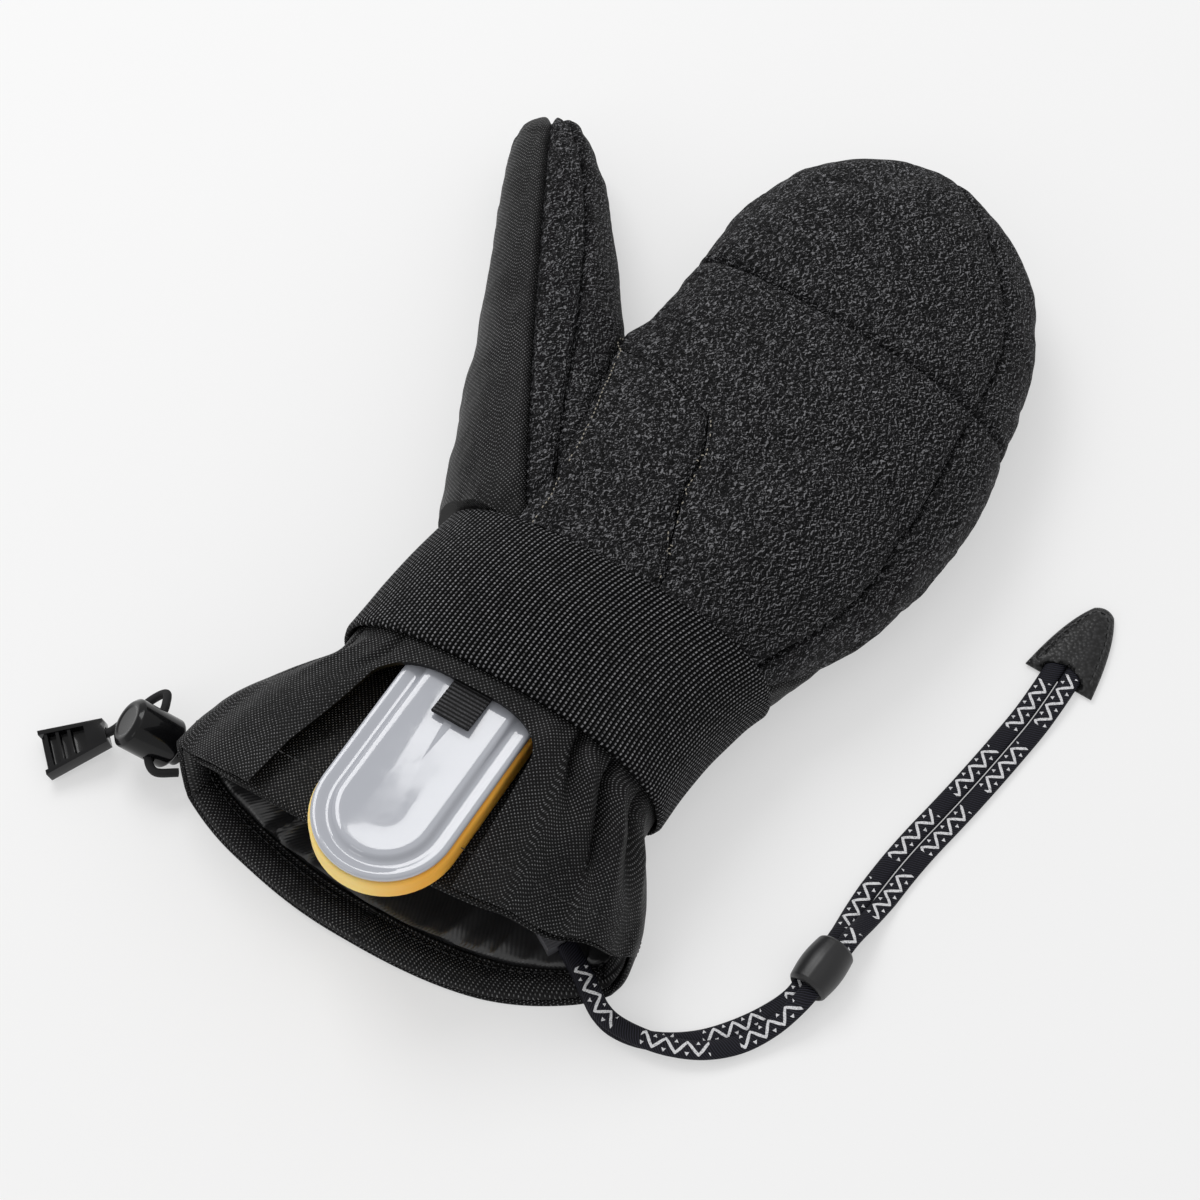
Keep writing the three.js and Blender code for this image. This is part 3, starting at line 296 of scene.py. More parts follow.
def leashCloth():  # a generic woven zigzag with a dot in each of its bends, in groups
    look = Finish("leashWeave", leashLook["black"], 0.55, 0.2)
    u, v = look.uv()
    across = look.math("COSINE", look.times(u, 2 * math.pi))
    cell = look.math("DIVIDE", v, leashLook["motif"])
    climb = look.math("PINGPONG", cell, 1.0)
    zigzag = look.math("MULTIPLY_ADD", climb, 1.15, -0.575)
    beside = look.math("ABSOLUTE", look.math("SUBTRACT", across, zigzag))
    line = look.math("LESS_THAN", beside, leashLook["line"])
    ends = look.math("SUBTRACT", 0.5, look.math("ABSOLUTE", look.math("SUBTRACT", climb, 0.5)))
    opposite = look.math("ABSOLUTE", look.math("ADD", across, zigzag))
    spot = look.math("LESS_THAN", look.math("ADD", ends, opposite), leashLook["line"])
    edge = look.math("LESS_THAN", look.math("ABSOLUTE", across), 0.72)
    group = look.math("FRACT", look.math("DIVIDE", cell, leashLook["group"]))
    shown = look.math("GREATER_THAN", group, leashLook["gap"])
    ragged = look.math("GREATER_THAN", look.noise(2600, 2), 0.40)
    mark = look.times(look.times(look.math("MAXIMUM", line, spot), shown), edge)
    mark = look.times(mark, look.math("MULTIPLY_ADD", ragged, 0.45, 0.55))
    thread = look.wave(look.math("MULTIPLY_ADD", u, 0.009, v), leashLook["thread"])
    dark = look.mix(look.ramp(thread, -0.2, 1.0), leashLook["black"], leashLook["sheen"])
    look.paint(look.mix(mark, dark, leashLook["white"]))
    look.bump(look.math("ADD", thread, look.times(mark, 2.0)), 0.00012, 0.7)
    return look.material


# crease is the painted shade colour of the hollows between the pebbles
leatherLook = {"top": (0.024, 0.024, 0.025), "crease": (0.004, 0.004, 0.004), "pebble": 1000, "depth": 0.00035}


def leatherFinish():
    look = Finish("pebbledLeather", leatherLook["top"], 0.36, 0.4)
    pebble = look.cells(leatherLook["pebble"], "SMOOTH_F1")
    # painted shade: the creases between the pebbles are painted darker than the pebble tops
    look.paint(look.mix(look.ramp(pebble, 0.1, 0.6), leatherLook["top"], leatherLook["crease"]))
    look.bump(look.math("SUBTRACT", 1.0, pebble), leatherLook["depth"], 0.8)
    return look.material


finishes = {
    "grip_cloth": gripCloth(),
    "woven_shell": wovenCloth(),
    "webbing": webbingCloth(),
    "satin_lining": satinCloth(),
    "guard_foam": foamFinish(),
    "guard_plate": glossPlastic("guardPlate", (0.44, 0.455, 0.50), 0.05),
    "guard_tape": ribbedTape(),
    "lock_plastic": glossPlastic("lockPlastic", (0.0035, 0.0035, 0.004), 0.16, 0.3),
    "lock_cord": plainFinish("lockCord", (0.006, 0.006, 0.007), 0.8, 2500, 0.0003),
    "tab_tape": plainFinish("tabTape", (0.10, 0.10, 0.11), 0.6, 1500),
    "leash_cord": leashCloth(),
    "bead_plastic": plainFinish("beadPlastic", (0.013, 0.013, 0.014), 0.38, 700, 0.00008),
    "tip_leather": leatherFinish(),
}
creamThread = plainFinish("creamThread", (0.36, 0.33, 0.27), 0.8, 3000)
blackThread = plainFinish("blackThread", (0.035, 0.035, 0.036), 0.65, 3000)
print("finishes are ready")

# arithmetic on tables and grids


def lerp(a, b, t):
    return a + (b - a) * t


def smooth(x):
    t = np.clip(x, 0, 1)
    return t * t * (3 - 2 * t)


def hump(x, wide, power=2):  # 1 in the middle, fading to 0
    return np.exp(-(x / wide) ** power)


def read(table, column, at, key="at"):  # a smooth curve through one column of a table
    keys, values = np.array(table[key], float), np.array(table[column], float)
    lo = np.maximum(np.arange(len(keys)) - 1, 0)
    hi = np.minimum(np.arange(len(keys)) + 1, len(keys) - 1)
    slopes = (values[hi] - values[lo]) / (keys[hi] - keys[lo])
    at = np.asarray(at, float)
    i = np.clip(np.searchsorted(keys, at, "right") - 1, 0, len(keys) - 2)
    span = keys[i + 1] - keys[i]
    t = np.clip((at - keys[i]) / span, 0, 1)
    return (lerp(values[i], values[i + 1], smooth(t))
            + span * slopes[i] * (t ** 3 - 2 * t * t + t) + span * slopes[i + 1] * (t ** 3 - t * t))


latticeSize = 24
lattice = np.random.RandomState(7).rand(latticeSize, latticeSize, latticeSize)


def cloudy(points, size, shift=0.0):  # soft random values from -1 to 1, one wave every size mm
    p = np.asarray(points) / size + shift
    base = np.floor(p).astype(int)
    f = smooth(p - base)
    total = 0
    for corner in np.ndindex(2, 2, 2):
        c = np.array(corner)
        index = (base + c) % latticeSize
        values = lattice[index[..., 0], index[..., 1], index[..., 2]]
        total = total + np.prod(np.where(c, f, 1 - f), axis=-1) * values
    return total * 2 - 1


def travel(line):  # the way covered at each point of a line
    return np.concatenate([[0], np.cumsum(np.linalg.norm(np.diff(line, axis=0), axis=1))])


def unit(vectors):
    return vectors / np.maximum(np.linalg.norm(vectors, axis=-1, keepdims=True), 1e-9)


def ringAngles(count):
    return 2 * np.pi * np.arange(count) / count


def bend(a, b, c, count):  # curve from a to c, drawn towards b
    t = np.linspace(0, 1, count)[:, None]
    return (1 - t) ** 2 * np.array(a) + 2 * t * (1 - t) * np.array(b) + t ** 2 * np.array(c)


def squareSection(size, turn, square):  # rounded section with a flat underside
    c, s = np.cos(np.radians(turn)), np.sin(np.radians(turn))
    across = np.sign(c) * np.abs(c) ** square
    up = np.sign(s) * np.abs(s) ** square
    x = lerp(size["left"], size["right"], (across + 1) / 2)
    low = np.maximum(size["floor"], lerp(size["middle"], size["low"], -up))
    return x, np.where(up >= 0, lerp(size["middle"], size["top"], up), low)


# forms of the hand, thumb, strap and cuff, in millimetres

hand = {
    "length": 218, "width": 122, "thick": 52, "start": 4, "middle": 0.41, "square": 0.84, "wall": 5,
    "rows": {
        "at": [0.015, 0.118, 0.200, 0.300, 0.427, 0.545, 0.650, 0.750, 0.823, 0.882, 0.927, 0.964, 0.989, 0.998,
               1.0],
        "left": [-0.350, -0.352, -0.355, -0.350, -0.338, -0.324, -0.308, -0.303, -0.287, -0.250, -0.197, -0.127,
                 -0.041, 0.035, 0.074],
        "right": [0.440, 0.482, 0.538, 0.612, 0.658, 0.658, 0.627, 0.586, 0.533, 0.475, 0.400, 0.310, 0.205,
                  0.120, 0.076],
        "top": [0.95, 0.97, 1.00, 1.00, 0.98, 0.95, 0.91, 0.87, 0.83, 0.79, 0.74, 0.67, 0.58, 0.47, 0.411],
        "low": [-0.04, -0.04, -0.04, -0.04, -0.04, -0.04, -0.04, -0.04, -0.03, 0.02, 0.08, 0.17, 0.27, 0.36,
                0.409],
        "edge": [0.93, 0.92, 0.93, 0.90, 0.84, 0.80, 0.82, 0.83, 0.77, 0.66, 0.55, 0.48, 0.44, 0.40, 0.40],
    },
}
thumb = {
    "length": 147, "width": 60, "thick": 48, "lean": 30, "rootX": -38, "rootY": 48, "middle": 0.395, "wall": 5,
    "rows": {
        "at": [-0.30, -0.18, -0.10, 0.0, 0.10, 0.26, 0.37, 0.44, 0.62, 0.78, 0.88, 0.94, 0.98, 0.996, 1.0],
        "left": [-0.600, -0.520, -0.462, -0.433, -0.410, -0.360, -0.326, -0.312, -0.278, -0.250, -0.218, -0.180,
                 -0.120, -0.050, 0.007],
        "right": [0.500, 0.500, 0.505, 0.515, 0.515, 0.508, 0.490, 0.458, 0.405, 0.335, 0.275, 0.218, 0.150,
                  0.070, 0.009],
        "top": [0.94, 0.97, 0.99, 1.00, 0.99, 0.94, 0.91, 0.88, 0.81, 0.73, 0.66, 0.60, 0.51, 0.43, 0.396],
        "low": [-0.04, -0.04, -0.04, -0.04, -0.04, -0.04, -0.04, -0.04, -0.04, 0.00, 0.06, 0.13, 0.24, 0.35,
                0.394],
        "groove": [0.34, 0.30, 0.27, 0.25, 0.26, 0.30, 0.36, 0.42, 0.53, 0.60, 0.60, 0.56, 0.50, 0.50, 0.50],
    },
}
strap = {
    "width": 51, "thick": 2, "height": 59.4, "across": 109, "middle": 0.37, "ease": 7,
    "rows": {
        "at": [0.0, 0.25, 0.55, 0.80, 1.0],
        "left": [-0.513, -0.505, -0.495, -0.483, -0.472],
        "right": [0.494, 0.494, 0.507, 0.530, 0.560],
        "top": [0.99, 1.00, 1.00, 0.96, 0.92],
    },
}
cuff = {
    "start": 3.2, "length": 95, "width": 150, "height": 57, "middle": 0.35, "sag": 0.50, "held": 0.3,
    "ease": 14,
    "rows": {
        "at": [0.0, 0.33, 0.43, 0.56, 0.70, 0.85, 1.0],
        "left": [-0.354, -0.354, -0.385, -0.440, -0.487, -0.515, -0.527],
        "right": [0.340, 0.340, 0.358, 0.388, 0.418, 0.442, 0.458],
        "top": [0.99, 0.99, 0.965, 0.905, 0.840, 0.795, 0.770],
        "base": [0.735, 0.735, 0.735, 0.735, 0.735, 0.730, 0.725],
    },
    "rim": {
        "turn": [0, 35, 65, 95, 130, 160, 180, 205, 235, 265, 295, 325, 345, 360],
        "reach": [0.67, 0.76, 0.83, 0.87, 0.87, 0.84, 0.825, 0.875, 0.955, 1.005, 0.96, 0.82, 0.71, 0.67],
    },
    "folds": [(46, 7, -0.055, 0.34), (60, 6, 0.030, 0.40), (30, 8, 0.035, 0.38), (15, 7, -0.040, 0.42),
              (150, 8, -0.030, 0.45)],
}


def strapLift(y):  # the hand and thumb lie on the strap's lower run
    return (strap["thick"] + seamGap) * (1 - smooth((np.abs(y) - strap["width"] / 2 - 1) / strap["ease"]))


def sideEdges(form, at):  # how far the left and the right side reach, in mm
    return (read(form["rows"], side, at) * form["width"] for side in ("left", "right"))


def formSection(form, at, turn, inset, floor):
    t, rows, wide = form["thick"], form["rows"], form["width"]
    shrink, shrinkTop = 1 - inset / (wide / 2), 1 - inset / (t * (1 - form["middle"]))
    left, right = sideEdges(form, at)
    centre, middle = (left + right) / 2, form["middle"] * t
    return squareSection({
        "left": lerp(centre, left, shrink), "right": lerp(centre, right, shrink), "middle": middle,
        "top": lerp(middle, read(rows, "top", at) * t, shrinkTop),
        "low": lerp(middle, read(rows, "low", at) * t, shrinkTop), "floor": floor,
    }, turn, hand["square"]), centre


def handPoint(at, turn, inset):
    y = hand["start"] + (at * hand["length"] - hand["start"]) * (1 - inset / hand["length"])
    (x, z), _ = formSection(hand, at, turn, inset, strapLift(y) + inset)
    return np.stack(np.broadcast_arrays(x, y, z), -1)


def thumbPoint(at, turn, inset):
    lean, along = math.radians(thumb["lean"]), at * (thumb["length"] - inset)
    (across, z), centre = formSection(thumb, at, turn, inset, inset)
    x = thumb["rootX"] - along * math.sin(lean) + across * math.cos(lean)
    y = thumb["rootY"] + along * math.cos(lean) + across * math.sin(lean)
    yMiddle = thumb["rootY"] + along * math.cos(lean) + centre * math.sin(lean)
    return np.stack(np.broadcast_arrays(x, y, np.maximum(z, strapLift(yMiddle) + inset)), -1)


def strapSize(y, inset):
    at = np.clip(y / strap["width"] + 0.5, 0, 1)
    rows = strap["rows"]
    return {
        "left": read(rows, "left", at) * strap["across"] + inset,
        "right": read(rows, "right", at) * strap["across"] - inset,
        "middle": strap["middle"] * strap["height"], "top": read(rows, "top", at) * strap["height"] - inset,
        "low": inset - 2 * strap["thick"], "floor": inset,
    }


def strapPoint(at, turn, inset):
    y = lerp(-strap["width"] / 2, strap["width"] / 2, at)
    x, z = squareSection(strapSize(y, inset), turn, hand["square"])
    return np.stack(np.broadcast_arrays(x, y, z), -1)


def cuffPoint(at, turn, inset, column="top", topInset=None):
    topInset = inset if topInset is None else topInset
    turn = np.asarray(turn, float)
    reach = read(cuff["rim"], "reach", turn % 360, "turn") * cuff["length"]
    heldEnd = -strap["width"] / 2 - 1
    y = np.where(at < cuff["held"], lerp(cuff["start"], heldEnd, at / cuff["held"]),
                 lerp(heldEnd, -reach, (at - cuff["held"]) / (1 - cuff["held"])))
    rows = cuff["rows"]
    held = strapSize(y, strap["thick"] + 2 * seamGap + inset)
    top = read(rows, column, at) * cuff["height"] - topInset
    free = {
        "left": read(rows, "left", at) * cuff["width"] + inset,
        "right": read(rows, "right", at) * cuff["width"] - inset,
        "middle": cuff["middle"] * cuff["height"], "top": top,
        "low": inset - cuff["sag"] * cuff["height"], "floor": inset,
    }
    loose = smooth((-y - strap["width"] / 2) / cuff["ease"])
    size = {key: lerp(held[key], free[key], loose) for key in free}
    if column == "base":
        size["top"] = top
    x, z = squareSection(size, turn, hand["square"])
    lift = 0
    for where, wide, deep, start in cuff["folds"]:
        lift = lift + deep * hump(turn - where, wide) * smooth((at - start) / 0.35)
    return np.stack(np.broadcast_arrays(x, y, z + lift * cuff["height"]), -1)


# making meshes


def arcLengths(grid):
    across = np.stack([travel(row) for row in grid])
    across -= across[:, across.shape[1] // 2][:, None]
    return across, np.stack([travel(column) for column in grid.swapaxes(0, 1)], 1)


def addObject(name, mesh, slotName, material=None, body=bodyName):
    piece = addNew(name, mesh)
    mesh.materials.clear()
    mesh.materials.append(material or finishes[slotName])
    mesh.polygons.foreach_set("use_smooth", [True] * len(mesh.polygons))
    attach(piece, body)
    return piece


def newMesh(name, points, faces):
    mesh = bpy.data.meshes.new(name)
    mesh.from_pydata(points, [], faces)
    return mesh


def turnOutward(mesh):  # the faces of a closed form look out
    work = bmesh.new()
    work.from_mesh(mesh)
    if work.calc_volume(signed=True) < 0:
        bmesh.ops.reverse_faces(work, faces=work.faces)
    work.to_mesh(mesh)
    work.free()
    return mesh


def quads(columns, rows, wrap=False):
    i = np.arange(columns if wrap else columns - 1)
    n = (i + 1) % columns
    out = []
    for j in range(rows - 1):
        out.append(np.stack([j * columns + i, j * columns + n, (j + 1) * columns + n, (j + 1) * columns + i], 1))
    return np.concatenate(out)


def shellMesh(name, outer, inner, wrap=False, uv=None):
    rows, columns = outer.shape[:2]
    points = np.concatenate([outer.reshape(-1, 3), inner.reshape(-1, 3)]) * mm
    top = quads(columns, rows, wrap)
    under = rows * columns
    faces = [top, top[:, ::-1] + under]
    i = np.arange(columns if wrap else columns - 1)
    n = (i + 1) % columns
    last = (rows - 1) * columns
    faces.append(np.stack([i, i + under, n + under, n], 1))
    faces.append(np.stack([last + i, last + n, last + n + under, last + i + under], 1))
    if not wrap:
        a = np.arange(rows - 1) * columns
        b = a + columns - 1
        faces.append(np.stack([a, a + columns, a + columns + under, a + under], 1))
        faces.append(np.stack([b, b + under, b + columns + under, b + columns], 1))
    faces = np.concatenate(faces)
    mesh = newMesh(name, points.tolist(), faces.tolist())
    if uv is None:
        uv = np.stack(arcLengths(outer), -1) * mm
    corners = np.concatenate([uv.reshape(-1, 2)] * 2)[faces.reshape(-1)]
    if wrap:  # the last column of faces closes the ring, so its far side runs on
        closing = corners.reshape(-1, 4, 2)
        wide = closing[..., 0].max(1) - closing[..., 0].min(1)
        span = uv[..., 0].max() - uv[..., 0].min()
        step = span / (columns - 1)
        jump = wide > span / 2
        fixed = closing[jump]
        low = fixed[..., 0] < (uv[..., 0].max() + uv[..., 0].min()) / 2
        fixed[..., 0] = np.where(low, fixed[..., 0] + span + step, fixed[..., 0])
        closing[jump] = fixed
        corners = closing.reshape(-1, 2)
    layer = mesh.uv_layers.new(name="cloth")
    layer.data.foreach_set("uv", corners.reshape(-1))
    return turnOutward(mesh)


def loftMesh(name, rings):  # closed form from rings of points
    rows, columns = rings.shape[:2]
    points = np.concatenate([rings.reshape(-1, 3), rings[0].mean(0)[None], rings[-1].mean(0)[None]]) * mm
    faces = quads(columns, rows, True).tolist()
    last = (rows - 1) * columns
    for i in range(columns):
        n = (i + 1) % columns
        faces.append([rows * columns, n, i])
        faces.append([rows * columns + 1, last + i, last + n])
    return turnOutward(newMesh(name, points, faces))


def cutter(mesh):
    return addNew(mesh.name, mesh)


def frameOf(x, y, z, origin):
    x, y, z = (Vector(a).normalized() for a in (x, y, z))
    return Matrix(((x.x, y.x, z.x, origin[0]), (x.y, y.y, z.y, origin[1]), (x.z, y.z, z.z, origin[2]),
                   (0, 0, 0, 1)))


def placed(rings, frameMatrix):
    m = np.array(frameMatrix)
    return rings @ m[:3, :3].T + m[:3, 3]


def lathe(name, profile, sides, frameMatrix):  # turned round the frame's third axis
    turn = ringAngles(sides)
    rings = np.array([np.stack([r * np.cos(turn), r * np.sin(turn), np.full(sides, h)], -1) for r, h in profile])
    return loftMesh(name, placed(rings, frameMatrix))


def rodCutter(name, frameMatrix, ends, wide, high, sides, lift=0.0):  # oval rod along the frame's first axis
    turn = ringAngles(sides)
    rings = np.array([np.stack([np.full(sides, x), wide * np.cos(turn), lift + high * np.sin(turn)], -1)
                      for x in ends])
    return cutter(loftMesh(name, placed(rings, frameMatrix)))


def carve(mesh, *tools, operation="DIFFERENCE"):  # cuts a mesh by closed tools
    piece = addNew("carving", mesh)
    for tool in tools:
        cut = piece.modifiers.new("cut", "BOOLEAN")
        cut.operation = operation
        cut.solver = "MANIFOLD"
        cut.object = tool
    made = bpy.data.meshes.new_from_object(piece.evaluated_get(bpy.context.evaluated_depsgraph_get()))
    bpy.data.objects.remove(piece)
    made.name = mesh.name
    return made


def dropTools(*tools):
    for tool in tools:
        bpy.data.objects.remove(tool)


def onSurface(line, *pieces):  # nearest points and normals on finished pieces
    work = bmesh.new()
    for piece in pieces:
        work.from_mesh(piece.data)
    tree = BVHTree.FromBMesh(work)
    work.free()
    found = [tree.find_nearest(Vector(point) * mm) for point in line]
    return np.array([hit[0] for hit in found]) / mm, np.array([hit[1] for hit in found])


def stitches(name, line, normals, look, slotName):
    length, pitch, radius, raised = look["length"], look["pitch"], look["radius"], look["raised"]
    where = travel(line)
    verts, faces = [], []
    sides, profile = 6, [(0.0, 0.15), (0.18, 0.85), (0.5, 1.0), (0.82, 0.85), (1.0, 0.15)]
    rng = np.random.RandomState(len(name))
    for k in range(int(where[-1] / pitch)):
        if rng.rand() < look.get("missing", 0.0):
            continue
        ends = [(k + 0.5) * pitch - length / 2, (k + 0.5) * pitch + length / 2]
        a, b = (np.array([np.interp(e, where, line[:, i]) for i in range(3)]) for e in ends)
        n = np.array([np.interp(ends[0], where, normals[:, i]) for i in range(3)])
        n /= np.linalg.norm(n)
        along = b - a
        side = np.cross(along, n)
        side /= max(np.linalg.norm(side), 1e-6)
        first = len(verts)
        for t, r in profile:
            middle = a + along * t + n * (raised + 0.25 * radius * math.sin(math.pi * t))
            for s in range(sides):
                w = 2 * math.pi * s / sides
                verts.append((middle + (side * math.cos(w) + n * math.sin(w) * 0.8) * radius * r) * mm)
        for j in range(len(profile) - 1):
            for s in range(sides):
                m = (s + 1) % sides
                faces.append([first + j * sides + s, first + j * sides + m, first + (j + 1) * sides + m,
                              first + (j + 1) * sides + s])
        faces.append([first + s for s in range(sides)][::-1])
        faces.append([first + (len(profile) - 1) * sides + s for s in range(sides)])
    mesh = newMesh(name, [tuple(v) for v in verts], faces)
    return addObject(name, mesh, slotName, look["thread"])


# the leash first: its route is the one list of chosen points

leash = {
    "wide": 5.8, "thick": 2.4, "gap": 0.3, "sides": 28, "steps": 420, "shift": 11.0,
    "route": [
        (47.2, -65.6, 6.9, 0), (51.8, -68.2, 6.9, 0), (56.8, -71.4, 6.9, 0), (61.4, -74.6, 6.8, 0),
        (65.8, -76.9, 4.9, 0), (71.0, -77.8, 3.4, 0), (78.4, -77.0, 2.9, 0.1), (86.8, -74.2, 2.8, 0.4),
        (95.0, -69.0, 2.3, 0.7), (101.8, -61.8, 2.1, 0.85), (107.2, -53.4, 3.4, 0.75), (110.9, -45.2, 6.4, 0.55),
        (111.9, -37.0, 6.7, 0.55), (112.6, -29.0, 6.7, 0.55), (113.1, -20.6, 6.2, 0.6), (113.3, -11.6, 3.2, 0.85),
        (113.8, -2.6, 1.7, 1), (114.8, 8.4, 1.4, 1), (116.3, 18.8, 1.4, 1), (118.3, 29.6, 1.4, 1),
        (120.1, 40.0, 1.4, 1), (121.7, 50.4, 1.4, 1), (123.1, 60.4, 1.4, 1), (124.4, 70.6, 1.6, 1),
        (125.1, 80.6, 2.2, 1), (125.3, 88.6, 2.3, 1), (125.5, 95.2, 2.3, 1),
    ],
}


def smoothLine(points, count):  # smooth curve through the points, evenly stepped
    p = np.array(points, float)
    p = np.concatenate([2 * p[:1] - p[1:2], p, 2 * p[-1:] - p[-2:-1]])
    out = []
    t = np.linspace(0, 1, 24, endpoint=False)[:, None]
    for i in range(1, len(p) - 2):
        a, b, c, d = p[i - 1:i + 3]
        out.append(0.5 * (2 * b + (c - a) * t + (2 * a - 5 * b + 4 * c - d) * t ** 2
                          + (3 * b - a - 3 * c + d) * t ** 3))
    line = np.concatenate(out + [p[-2:-1]])
    where = travel(line[:, :3])
    at = np.linspace(0, where[-1], count)
    return np.stack([np.interp(at, where, line[:, k]) for k in range(line.shape[1])], 1)


def flatTube(name, path, wide, thick, sides, slotName, shift=0.0):
    along = unit(np.gradient(path, axis=0))
    side = unit(np.stack([along[:, 1], -along[:, 0], np.zeros(len(path))], 1))
    up = np.cross(side, along)
    turn = ringAngles(sides)
    across = np.sign(np.cos(turn)) * np.abs(np.cos(turn)) ** 0.85 * wide / 2
    high = np.sin(turn) * thick / 2
    rings = path[:, None] + side[:, None] * across[None, :, None] + up[:, None] * high[None, :, None]
    rings[..., 2] = np.maximum(rings[..., 2], 0.05)
    mesh = loftMesh(name, rings)
    where = np.linspace(shift, shift + travel(path)[-1], len(path)) * mm
    layer = mesh.uv_layers.new(name="cloth")
    ids = np.empty(len(mesh.loops), int)
    mesh.loops.foreach_get("vertex_index", ids)
    ring = np.minimum(ids // sides, len(path) - 1)
    u = (ids % sides) / sides
    layer.data.foreach_set("uv", np.stack([u, where[ring]], 1).reshape(-1))
    for face in mesh.polygons:  # the ring closes on itself
        loops = list(face.loop_indices)
        us = [layer.data[k].uv[0] for k in loops]
        if max(us) - min(us) > 0.5:
            for k in loops:
                if layer.data[k].uv[0] < 0.5:
                    layer.data[k].uv[0] += 1
    return addObject(name, mesh, slotName)


def makeLeash():
    line = smoothLine(leash["route"], leash["steps"])
    tangent = np.gradient(line[:, :3], axis=0)
    flat = np.hypot(tangent[:, 0], tangent[:, 1])
    spread = np.clip(line[:, 3], 0, 1)
    aside = (leash["wide"] + leash["gap"]) / 2 * spread
    above = (leash["thick"] + 2 * leash["gap"]) / 2 * np.sqrt(1 - spread ** 2)
    strands = []
    for name, s in (("leash_strand_a", 1), ("leash_strand_b", -1)):
        path = line[:, :3].copy()
        path[:, 0] += s * aside * tangent[:, 1] / flat
        path[:, 1] -= s * aside * tangent[:, 0] / flat
        path[:, 2] += s * above
        piece = flatTube("woven_" + name, path, leash["wide"], leash["thick"], leash["sides"], "leash_cord",
                         leash["shift"] if s < 0 else 0)
        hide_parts(name)
        strands.append((piece, path, travel(path)[-1]))
    return strands, line


strands, leashLine = makeLeash()

bead = {"radius": 6.7, "length": 16, "end": 0.89, "place": (112.25, -33.0, 6.7), "toward": (0.7, 8.0),
        "spread": 0.55, "mouldLine": 0.14}
tip = {"width": 22.6, "length": 30.5, "thick": 4.6, "base": 8.0, "border": 2.5}
upward = Vector((0, 0, 1))


def roundOver(profile, radius, steps=4):  # softens the corners of a lathe profile
    out = [profile[0]]
    for a, b, c in zip(profile, profile[1:], profile[2:]):
        a, b, c = np.array(a, float), np.array(b, float), np.array(c, float)
        la, lc = np.linalg.norm(a - b), np.linalg.norm(c - b)
        r = min(radius, la * 0.45, lc * 0.45)
        p, q = b + (a - b) / max(la, 1e-6) * r, b + (c - b) / max(lc, 1e-6) * r
        for k in range(steps + 1):
            t = k / steps
            out.append(tuple((1 - t) ** 2 * p + 2 * t * (1 - t) * b + t * t * q))
    out.append(profile[-1])
    return out


def makeBead():
    half, end = bead["length"] / 2, bead["radius"] * bead["end"]
    side = [(lerp(end, bead["radius"], math.sin(math.pi * t)), lerp(-half + 0.9, half - 0.9, t))
            for t in np.linspace(0, 1, 22)]
    profile = [(0.01, -half), (end - 0.9, -half)] + side + [(end - 0.9, half), (0.01, half)]
    axis = Vector((*bead["toward"], 0)).normalized()
    standing = frameOf(upward, axis.cross(upward), axis, bead["place"])
    body = lathe("bead", roundOver(profile, 0.5, 3), 72, standing)
    for v in body.vertices:  # a fine mould line runs along the top and the underside
        d = Vector(v.co) / mm - Vector(bead["place"])
        out = d - axis * d.dot(axis)
        if out.length > end * 0.8:
            out.normalize()
            v.co += out * bead["mouldLine"] * mm * math.exp(-(out.cross(upward).length / 0.05) ** 2)
    spread = bead["spread"]
    wide = (leash["wide"] + leash["gap"]) / 2 * spread + leash["wide"] / 2 + 0.72
    high = (leash["thick"] / 2 + leash["gap"]) * math.sqrt(1 - spread ** 2) + leash["thick"] / 2 + 1.2
    lying = frameOf(axis, (axis.y, -axis.x, 0), upward, bead["place"])
    hole = rodCutter("beadHole", lying, (-half - 2, half + 2), wide, high, 48)
    mesh = carve(body, hole)
    dropTools(hole)
    piece = addObject("moulded_bead", mesh, "bead_plastic")
    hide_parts("leash_bead")
    return piece


def leafOutline(inset, count=26):
    half, length = tip["width"] / 2 - inset, tip["length"] - 2 * inset
    one = bend((0.0, -half), (length * 0.64, -half * 0.78), (length * 0.93, -half * 0.30), count)
    two = bend((length * 0.93, -half * 0.30), (length * 1.02, 0), (length * 0.93, half * 0.30), count)
    three = bend((length * 0.93, half * 0.30), (length * 0.64, half * 0.78), (0.0, half), count)
    base = np.stack([np.zeros(10), np.linspace(half, -half, 12)[1:-1]], 1)
    outline = np.concatenate([one[:-1], two[:-1], three, base])
    outline[:, 0] += inset
    return outline


def makeTip():
    end = leashLine[-1, :3]
    toward = unit(leashLine[-1, :2] - leashLine[-12, :2])
    across = np.array([-toward[1], toward[0]])
    origin = end[:2] - toward * (tip["base"] - 0.4)

    def place(flat, z):
        xy = origin + flat[:, :1] * toward + flat[:, 1:] * across
        return np.concatenate([xy, np.full((len(flat), 1), z)], 1)

    layers = [(1.3, 0.05), (0.35, 0.35), (0.0, 0.9), (0.0, 1.5), (0.35, 2.0), (1.1, 2.45), (2.0, 2.7),
              (2.6, 3.25), (4.0, 3.9), (6.0, 4.35), (8.0, tip["thick"])]
    mesh = loftMesh("leatherTip", np.array([place(leafOutline(i), z) for i, z in layers]))
    hole = rodCutter("tipSlot", frameOf((*toward, 0), (*across, 0), upward, (*origin, end[2])),
                     (-4.0, tip["base"] + 0.8), 6.7, 1.75, 32)
    mesh = carve(mesh, hole)
    dropTools(hole)
    piece = addObject("stitched_leather_tip", mesh, "tip_leather")
    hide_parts("leash_tip")
    path = place(leafOutline(tip["border"], 30)[:-10], 3.25)
    thread = {"length": 1.9, "pitch": 2.9, "radius": 0.3, "thread": blackThread, "raised": 0.1}
    edge = stitches("tip_border_stitches", path, np.tile([0, 0, 1.0], (len(path), 1)), thread, "tip_leather")
    return piece, edge


leashBead = makeBead()
leashTip, tipStitches = makeTip()
print("leash is ready")

# the padded panels of the hand and the thumb

